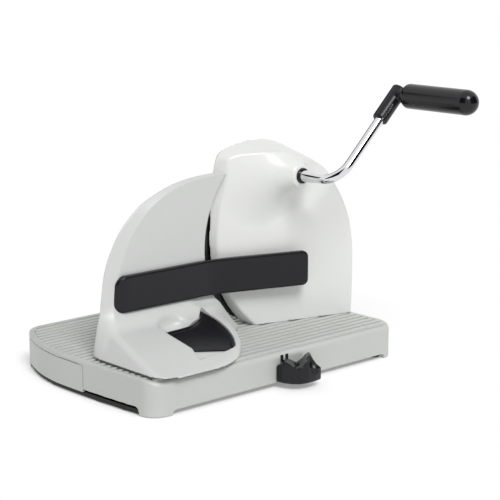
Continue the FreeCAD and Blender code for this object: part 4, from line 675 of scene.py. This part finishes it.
def bottom_field(x, y, z):
    """The black bottom plate, set back under the front skirt, with its band along the left end."""
    plan = polygon(x, y, PLAN)
    plate = overlap(plan + BOTTOM_INSET, BOTTOM_FRONT - y)
    plate = rounded_overlap(plate, slab(z, BOTTOM_LOW, BOTTOM_HIGH), BOTTOM_EDGE)
    drawer_side = np.minimum(y - BAY_START, BAY_END - y)
    strip_top = STRIP_TOP - 0.3 - 3.0 * ease(drawer_side, -1.0, -0.4)
    strip = overlap(plan + STRIP_INSET, x - STRIP_REACH, END_FRONT + STRIP_GAP - y,
                    y - END_BACK + STRIP_GAP, z - strip_top, BOTTOM_LOW - z)
    plate = np.minimum(plate, strip)
    mouth = np.hypot(x - CUP_PLACE[0], y - CUP_PLACE[1]) - CUP_MOUTH
    heads = [np.hypot(x - sx, y - sy) - HEAD_RADIUS for sx, sy in SCREW_PLACES]
    sunk = overlap(np.minimum.reduce(heads), z - HEAD_TOP)
    return overlap(plate, -mouth, -sunk)


# Slice bar

BAR_LOW, BAR_HIGH = corner_box("slice_bar")
BAR_THICKNESS = 6.0
BAR_FRONT = FIN_BACK - FIN_THICKNESS - BAR_THICKNESS
BAR_START = 28.5
BAR_SLANT = 0.12
BAR_ROUND = 46.0
BAR_CURL = 6.0
BAR_BEND_EDGE = 3.0
BAR_BACK_EDGE = 9.0
BAR_SEAT = 2.0
BAR_CORNER = 6.5
BAR_END_CORNER = 10.0
BAR_EDGE = 2.2
BAR_BEND = 151.0
BAR_WING = 105.0
BAR_TURN = math.radians(18.0)


def bar_field(x, y, z):
    """The black slice bar: straight on the plate, then turned out to lead the slice away."""
    along = x - BAR_BEND
    out = y - BAR_FRONT
    across = along * math.sin(BAR_TURN) + out * math.cos(BAR_TURN)
    run = along * math.cos(BAR_TURN) - out * math.sin(BAR_TURN)
    left = BAR_START + BAR_SLANT * (z - BAR_LOW[2])
    curl = BAR_CURL * np.clip((BAR_ROUND - x) / (BAR_ROUND - BAR_START), 0, 1.2) ** 2.4
    front = rounded_union(curl - out, -across, BAR_BEND_EDGE)
    seat = BAR_SEAT * (1 - ease(x, 36.0, 44.0))
    back = rounded_overlap(out - BAR_THICKNESS - seat, across - BAR_THICKNESS, BAR_BACK_EDGE)
    place = np.where(along < 0, x, BAR_BEND + run)
    far_left = BAR_START - 30.0
    face = rectangle(place, z, far_left, BAR_BEND + BAR_WING, BAR_LOW[2], BAR_HIGH[2], BAR_CORNER)
    face = rounded_overlap(face, left - x, BAR_END_CORNER)
    solid = rounded_overlap(face, front, BAR_EDGE)
    return overlap(solid, back)


# Lock lever

def line_distance(u, v, points):
    """Distance to an open line."""
    nearest = np.full(np.broadcast(u, v).shape, 1e9)
    for (u0, v0), (u1, v1) in zip(points, points[1:]):
        eu, ev = u1 - u0, v1 - v0
        share = np.clip(((u - u0) * eu + (v - v0) * ev) / (eu * eu + ev * ev), 0, 1)
        nearest = np.minimum(nearest, (u - u0 - eu * share) ** 2 + (v - v0 - ev * share) ** 2)
    return np.sqrt(nearest)


LEVER_RIM = arc((0, 0), LEVER_REACH, -38.5, 17.5, 12)
LEVER_BACK_POINTS = 26
LEVER_BACK = LEVER_OUTLINE[-LEVER_BACK_POINTS:]
LEVER_DISH = 2.2
LEVER_EDGE = 0.7
LEVER_THICKNESS = 3.5
BACK_RIM_HEIGHT = 0.75
PIN_BORE = 3.05


def lever_field(x, y, z):
    """The black lever: a dished fan with a raised rim, on an arm that runs to the hidden pivot."""
    across, up, above = on_slope(x, y, z)
    shape = polygon(across, up, LEVER_OUTLINE)
    outer_rim = 1 - ease(line_distance(across, up, LEVER_RIM), 2.2, 3.8)
    back_rim = 1 - ease(line_distance(across, up, LEVER_BACK), 1.2, 3.4)
    rim = np.maximum(outer_rim, BACK_RIM_HEIGHT * back_rim)
    top = above + LEVER_DISH * (1 - rim)
    fan = overlap(rounded_overlap(shape, top, LEVER_EDGE), -LEVER_THICKNESS - above)
    arm = overlap(rectangle(across, up, -9.0, 14.0, -9.0, 9.0, 8.0), slab(above, -6.8, -3.3))
    bore = np.hypot(across, up) - PIN_BORE
    return overlap(np.minimum(fan, arm), -bore)


# Crank

ARM_TURN = math.radians(44.0)
ARM_WAY = np.array([math.cos(ARM_TURN), 0.0, math.sin(ARM_TURN)])
ARM_SIDE = np.array([math.sin(ARM_TURN), 0.0, -math.cos(ARM_TURN)])
ROD_BACK = corner_box("crank_rod")[1][1]
ROD_RADIUS = 4.75
ROD_BEND = 22.0
ARM_END = 109.0
STUB_RADIUS = 3.0
SHAFT_RADIUS = 5.9
GRIP_REACH = 114.0


def tube(name, path, radii, side, segments=40):
    """A round rod along a flat path, its ends closed."""
    path = np.array(path, float)
    ways = np.gradient(path, axis=0)
    ways /= np.linalg.norm(ways, axis=1)[:, None]
    side = np.array(side, float)
    points, normals, faces = [], [], []
    for centre, way, radius in zip(path, ways, radii):
        cross = np.cross(way, side)
        for step in range(segments):
            turn = 2 * math.pi * step / segments
            out = side * math.cos(turn) + cross * math.sin(turn)
            points.append(centre + out * radius)
            normals.append(out)
    for ring in range(len(path) - 1):
        for step in range(segments):
            here = ring * segments + step
            beside = ring * segments + (step + 1) % segments
            faces.append((here, beside, beside + segments, here + segments))
    faces.append(tuple(reversed(range(segments))))
    faces.append(tuple(range(len(points) - segments, len(points))))
    return mesh_piece(name, np.array(points), faces, np.array(normals))


def crank_point(reach, y):
    """A point in the crank's own plane: out along the arm and along the axis."""
    return np.array([BLADE_X, 0.0, CRANK_Z]) + ARM_WAY * reach + np.array([0.0, y, 0.0])


def make_rod():
    """The chromed rod in one sweep: shaft, bend and arm."""
    path, radii = [], []
    bend_start = 0.6 * SHAFT_RADIUS + 0.4 * ROD_RADIUS
    for y, radius in ((ROD_BACK, STUB_RADIUS), (105.8, STUB_RADIUS), (105.7, ROD_RADIUS),
                      (58.1, ROD_RADIUS), (58.0, SHAFT_RADIUS), (44.0, SHAFT_RADIUS),
                      (34.0, bend_start), (26.0, ROD_RADIUS)):
        path.append(crank_point(0.0, y))
        radii.append(radius)
    steps = 24
    for step in range(steps + 1):
        turn = math.pi / 2 * step / steps
        path.append(crank_point(ROD_BEND * (1 - math.cos(turn)), ROD_BEND * (1 - math.sin(turn))))
        radii.append(ROD_RADIUS)
    path.append(crank_point(60.0, 0.0))
    path.append(crank_point(ARM_END, 0.0))
    radii += [ROD_RADIUS, ROD_RADIUS]
    return tube("crank_rod_sweep", path, radii, ARM_SIDE)


def crank_place(x, y, z):
    """Coordinates along the arm, square to it in the crank's plane, and along the axis."""
    along = (x - BLADE_X) * ARM_WAY[0] + (z - CRANK_Z) * ARM_WAY[2]
    side = (x - BLADE_X) * ARM_SIDE[0] + (z - CRANK_Z) * ARM_SIDE[2]
    return along, side, y


SLIT_TURN = math.radians(-20.0)
SLIT_HALF = 0.8
SLIT_END = 104.0
SLEEVE_RADIUS = 8.0
SLEEVE_EDGE = 1.6
NECK_RADIUS = 6.6
NECK_EDGE = 0.8
NECK_FILLET = 2.5
ROD_GAP = 0.03
ROD_END_GAP = 0.3


def socket_field(x, y, z):
    """The black sleeve on the arm's end with its slit, and the neck that leads to the grip."""
    along, side, axis = crank_place(x, y, z)
    sleeve = np.hypot(side, axis) - SLEEVE_RADIUS
    sleeve = rounded_overlap(sleeve, slab(along, 80.5, 121.5), SLEEVE_EDGE)
    neck = np.hypot(along - GRIP_REACH, side) - NECK_RADIUS
    neck = rounded_overlap(neck, slab(axis, -13.1, 2.0), NECK_EDGE)
    body = rounded_union(sleeve, neck, NECK_FILLET)
    out = -axis * math.cos(SLIT_TURN) + side * math.sin(SLIT_TURN)
    sideways = axis * math.sin(SLIT_TURN) + side * math.cos(SLIT_TURN)
    slit = overlap(np.abs(sideways) - SLIT_HALF, 2.0 - out, along - SLIT_END)
    hole = overlap(np.hypot(side, axis) - ROD_RADIUS - ROD_GAP, along - ARM_END - ROD_END_GAP)
    return overlap(body, -slit, -hole)


GRIP_X, _, GRIP_Z = crank_point(GRIP_REACH, 0.0)
GRIP_RADIUS = 12.5
GRIP_START = -13.4
GRIP_END = -103.0
GRIP_SHOULDER = 5.5
GRIP_BORE = 3.55
GRIP_BORE_END = -75.0


def grip_field(x, y, z):
    """The black grip: a capsule with a narrower round shoulder at the neck."""
    reach = np.hypot(x - GRIP_X, z - GRIP_Z)
    ball = GRIP_END + GRIP_RADIUS
    body = np.hypot(reach, np.minimum(y - ball, 0)) - GRIP_RADIUS
    shoulder = rounded_overlap(body, y - GRIP_START, GRIP_SHOULDER)
    bore = overlap(reach - GRIP_BORE, GRIP_BORE_END - y)
    return overlap(shoulder, -bore)


# Knob

KNOB_X, KNOB_Z = 172.0, 19.5
KNOB_PLAN = [(-19.4, -1.4), (-18.8, -9.0), (-14.5, -18.0), (-8.0, -24.0), (0.0, -26.0), (10.0, -26.0),
             (18.2, -24.5), (19.0, -14.0), (18.0, -1.4)]


KNOB_RIDGE = [(-26.0, 2.0), (-19.0, 4.5), (-17.0, 7.0), (-13.0, 8.3), (-8.0, 6.0), (-3.0, 2.1), (3.0, 4.5),
              (6.0, 8.0), (9.0, 11.0), (11.0, 10.5), (14.0, 5.0), (17.0, 1.5), (20.0, 0.0)]
KNOB_WAY = (0.741, -0.671)
KNOB_MIDDLE = -13.0
KNOB_BOTTOM = -13.5
RIDGE_STEEPNESS = 0.75
EAR_HOLLOW = (10.0, -27.0, 6.5)
EAR_RADII = (9.0, 11.0, 12.0)


def knob_field(x, y, z):
    """The black knob: a block whose top runs in waves between a low and a high ear."""
    u, w = x - KNOB_X, z - KNOB_Z
    plan = polygon(u, y, KNOB_PLAN)
    run = KNOB_WAY[0] * u + KNOB_WAY[1] * (y - KNOB_MIDDLE)
    ridge = np.interp(run, [point[0] for point in KNOB_RIDGE], [point[1] for point in KNOB_RIDGE])
    block = rounded_overlap(plan, (w - ridge) * RIDGE_STEEPNESS, 1.4)
    block = rounded_overlap(block, KNOB_BOTTOM - w, 2.0)
    return rounded_cut(block, ellipsoid(u, y, w, EAR_HOLLOW, EAR_RADII), 0.8)


# Building the pieces

def make_white_pieces():
    """The guide, the housing, the base and its ribs."""
    guide = moulded("guide_plate_moulding", guide_field,
                    spread((-1.0, 1.2), (190.0, 1.2), 192.0),
                    spread((-14.0, 1.2), (91.8, 0.5), 101.3),
                    spread((35.0, 1.0), (201.0, 1.0), 202.0))
    dress(guide, GUIDE_WHITE, "guide", "white_shell", "guide_plate")
    housing = moulded("housing_moulding", housing_field,
                      spread((158.0, 1.4), 320.0), spread((46.0, 1.3), 110.5), spread((34.5, 1.4), 228.0))
    dress(housing, HOUSING_WHITE, "base", "white_shell", "housing_shell")
    base = moulded("base_moulding", base_field,
                   spread((-7.0, 1.0), (26.0, 3.5), (300.0, 1.0), 322.0),
                   spread((-2.0, 1.1), 239.0),
                   spread((-0.5, 0.75), 38.0))
    dress(base, BASE_WHITE, "base", "white_shell", "base_shell")
    dress(make_ribs(), BASE_WHITE, "base", "white_shell")


def make_black_pieces():
    """The bottom plate, the bar, the lever, the crank's socket, grip and rod, and the knob."""
    bottom = moulded("bottom_plate_moulding", bottom_field,
                     spread((-4.0, 2.0), 320.0), spread((10.0, 2.0), 236.0), spread((0.2, 0.8), 6.2))
    dress(bottom, SHELL_BLACK, "base", "black_shell", "bottom_plate")
    bar = moulded("slice_bar_moulding", bar_field,
                  spread((20.0, 0.8), 256.0), spread((48.0, 0.9), 100.0), spread((74.0, 0.9), 116.0))
    dress(bar, GLOSS_BLACK, "guide", "gloss_black", "slice_bar")
    lever = moulded("lock_lever_moulding", lever_field,
                    spread((46.0, 0.6), 138.0), spread((8.0, 0.6), 94.0), spread((34.0, 0.5), 68.0))
    dress(lever, GLOSS_BLACK, "lever", "gloss_black", "lock_lever")
    socket = moulded("grip_socket_moulding", socket_field,
                     spread((284.0, 0.6), 332.0), spread((-18.0, 0.6), 10.0), spread((240.0, 0.6), 288.0))
    dress(socket, GLOSS_BLACK, "crank", "gloss_black", "grip_socket")
    grip = moulded("grip_moulding", grip_field,
                   spread((303.0, 0.9), 331.0), spread((-105.0, 0.9), -13.0), spread((258.0, 0.9), 287.0))
    dress(grip, GRIP_BLACK, "grip", "gloss_black", "grip")
    knob = moulded("suction_knob_moulding", knob_field,
                   spread((148.0, 0.5), 196.0), spread((-28.0, 0.5), 0.0), spread((2.0, 0.5), 40.0))
    dress(knob, GLOSS_BLACK, "knob", "gloss_black", "suction_knob")
    dress(make_rod(), CHROME, "crank", "chromed_rod", "crank_rod")


make_white_pieces()
make_black_pieces()


# Other nodes keep their solids

slot_of = {part["node"]: part["material_slot"] for part in frame["record"]["subparts"]}
for node, thing in nodes.items():
    thing.data.materials.clear()
    thing.data.materials.append(NODE_FINISH[slot_of[node]])


# Floor, light and camera

FLOOR_FILL = 0.26


def make_floor():
    """A wide white floor that glows a little for the camera and in reflections."""
    half = 6.0
    mesh = bpy.data.meshes.new("studio_floor")
    mesh.from_pydata([(-half, -half, 0), (half, -half, 0), (half, half, 0), (-half, half, 0)], [],
                     [(0, 1, 2, 3)])
    floor = bpy.data.objects.new("studio_floor", mesh)
    bpy.context.scene.collection.objects.link(floor)
    material, shader = finish_of("studio_white", (0.9, 0.9, 0.9), 0.95)
    shader.inputs["Specular IOR Level"].default_value = 0.0
    shader.inputs["Emission Color"].default_value = (1, 1, 1, 1)
    tree = material.node_tree
    fill = tree.nodes.new("ShaderNodeMath")
    fill.operation = "MULTIPLY"
    fill.inputs[1].default_value = FLOOR_FILL
    tree.links.new(seen_directly(tree), fill.inputs[0])
    tree.links.new(fill.outputs["Value"], shader.inputs["Emission Strength"])
    floor.data.materials.append(material)


def seen_directly(tree):
    """1 for rays from the camera and in mirrors, 0 for light that falls on the object."""
    path = tree.nodes.new("ShaderNodeLightPath")
    glossy = tree.nodes.new("ShaderNodeMath")
    glossy.operation = "MAXIMUM"
    tree.links.new(path.outputs["Is Camera Ray"], glossy.inputs[0])
    tree.links.new(path.outputs["Is Glossy Ray"], glossy.inputs[1])
    either = tree.nodes.new("ShaderNodeMath")
    either.operation = "MAXIMUM"
    tree.links.new(glossy.outputs["Value"], either.inputs[0])
    tree.links.new(path.outputs["Is Transmission Ray"], either.inputs[1])
    return either.outputs["Value"]


def sun(name, way, strength, softness):
    """A soft distant lamp that shines from the given direction."""
    light = bpy.data.lights.new(name, "SUN")
    light.energy = strength
    light.angle = math.radians(softness)
    lamp = bpy.data.objects.new(name, light)
    bpy.context.scene.collection.objects.link(lamp)
    lamp.rotation_euler = Vector(way).to_track_quat("Z", "Y").to_euler()


FLAG_REACH = 3.0


def make_flag(name, azimuth, half_width, heights):
    """A black studio card, seen in mirrors alone, that gives polished metal its dark bands."""
    turns = [math.radians(azimuth + side * half_width) for side in (-1, 1)]
    corners = [(FLAG_REACH * math.cos(turn), FLAG_REACH * math.sin(turn), height)
               for height, turn in ((heights[0], turns[0]), (heights[0], turns[1]),
                                    (heights[1], turns[1]), (heights[1], turns[0]))]
    mesh = bpy.data.meshes.new(name)
    mesh.from_pydata(corners, [], [(0, 1, 2, 3)])
    flag = bpy.data.objects.new(name, mesh)
    bpy.context.scene.collection.objects.link(flag)
    material, shader = finish_of(name, (0.01, 0.01, 0.01), 1.0)
    shader.inputs["Specular IOR Level"].default_value = 0.0
    flag.data.materials.append(material)
    flag.visible_camera = False
    flag.visible_diffuse = False
    flag.visible_shadow = False
    flag.visible_transmission = False


WORLD_LIGHT = 0.44


def make_world():
    """Plain pale surroundings, white where the camera looks past the object."""
    world = bpy.data.worlds.new("studio")
    bpy.context.scene.world = world
    world.use_nodes = True
    tree = world.node_tree
    background = tree.nodes["Background"]
    background.inputs["Color"].default_value = (1, 1, 1, 1)
    strength = tree.nodes.new("ShaderNodeMapRange")
    strength.inputs["To Min"].default_value = WORLD_LIGHT
    strength.inputs["To Max"].default_value = 1.0
    tree.links.new(seen_directly(tree), strength.inputs["Value"])
    tree.links.new(strength.outputs["Result"], background.inputs["Strength"])


CAMERA_PLACE = (-832.85, -1051.44, 446.235)
CAMERA_TURN = 42.16
CAMERA_DROP = 12.125
FOCAL_PIXELS = 1549.0
PICTURE_PIXELS = 500.0


def make_camera():
    """The photograph's viewpoint."""
    data = bpy.data.cameras.new("camera")
    data.sensor_fit = "HORIZONTAL"
    data.sensor_width = 36.0
    data.lens = FOCAL_PIXELS / PICTURE_PIXELS * data.sensor_width
    data.clip_start = 0.01
    camera = bpy.data.objects.new("camera", data)
    bpy.context.scene.collection.objects.link(camera)
    camera.location = to_frame(CAMERA_PLACE)
    camera.rotation_euler = (math.radians(90 - CAMERA_DROP), 0, math.radians(-CAMERA_TURN))
    bpy.context.scene.camera = camera


make_floor()
make_world()
make_camera()
sun("key", (-0.25, -0.62, 0.74), 1.7, 25)
make_flag("left_flag", 188.0, 30.0, (0.3, 3.2))
make_flag("front_flag", 300.0, 34.0, (0.1, 2.4))
make_flag("rear_flag", 95.0, 40.0, (0.6, 1.9))
bpy.context.scene.view_settings.view_transform = "Standard"
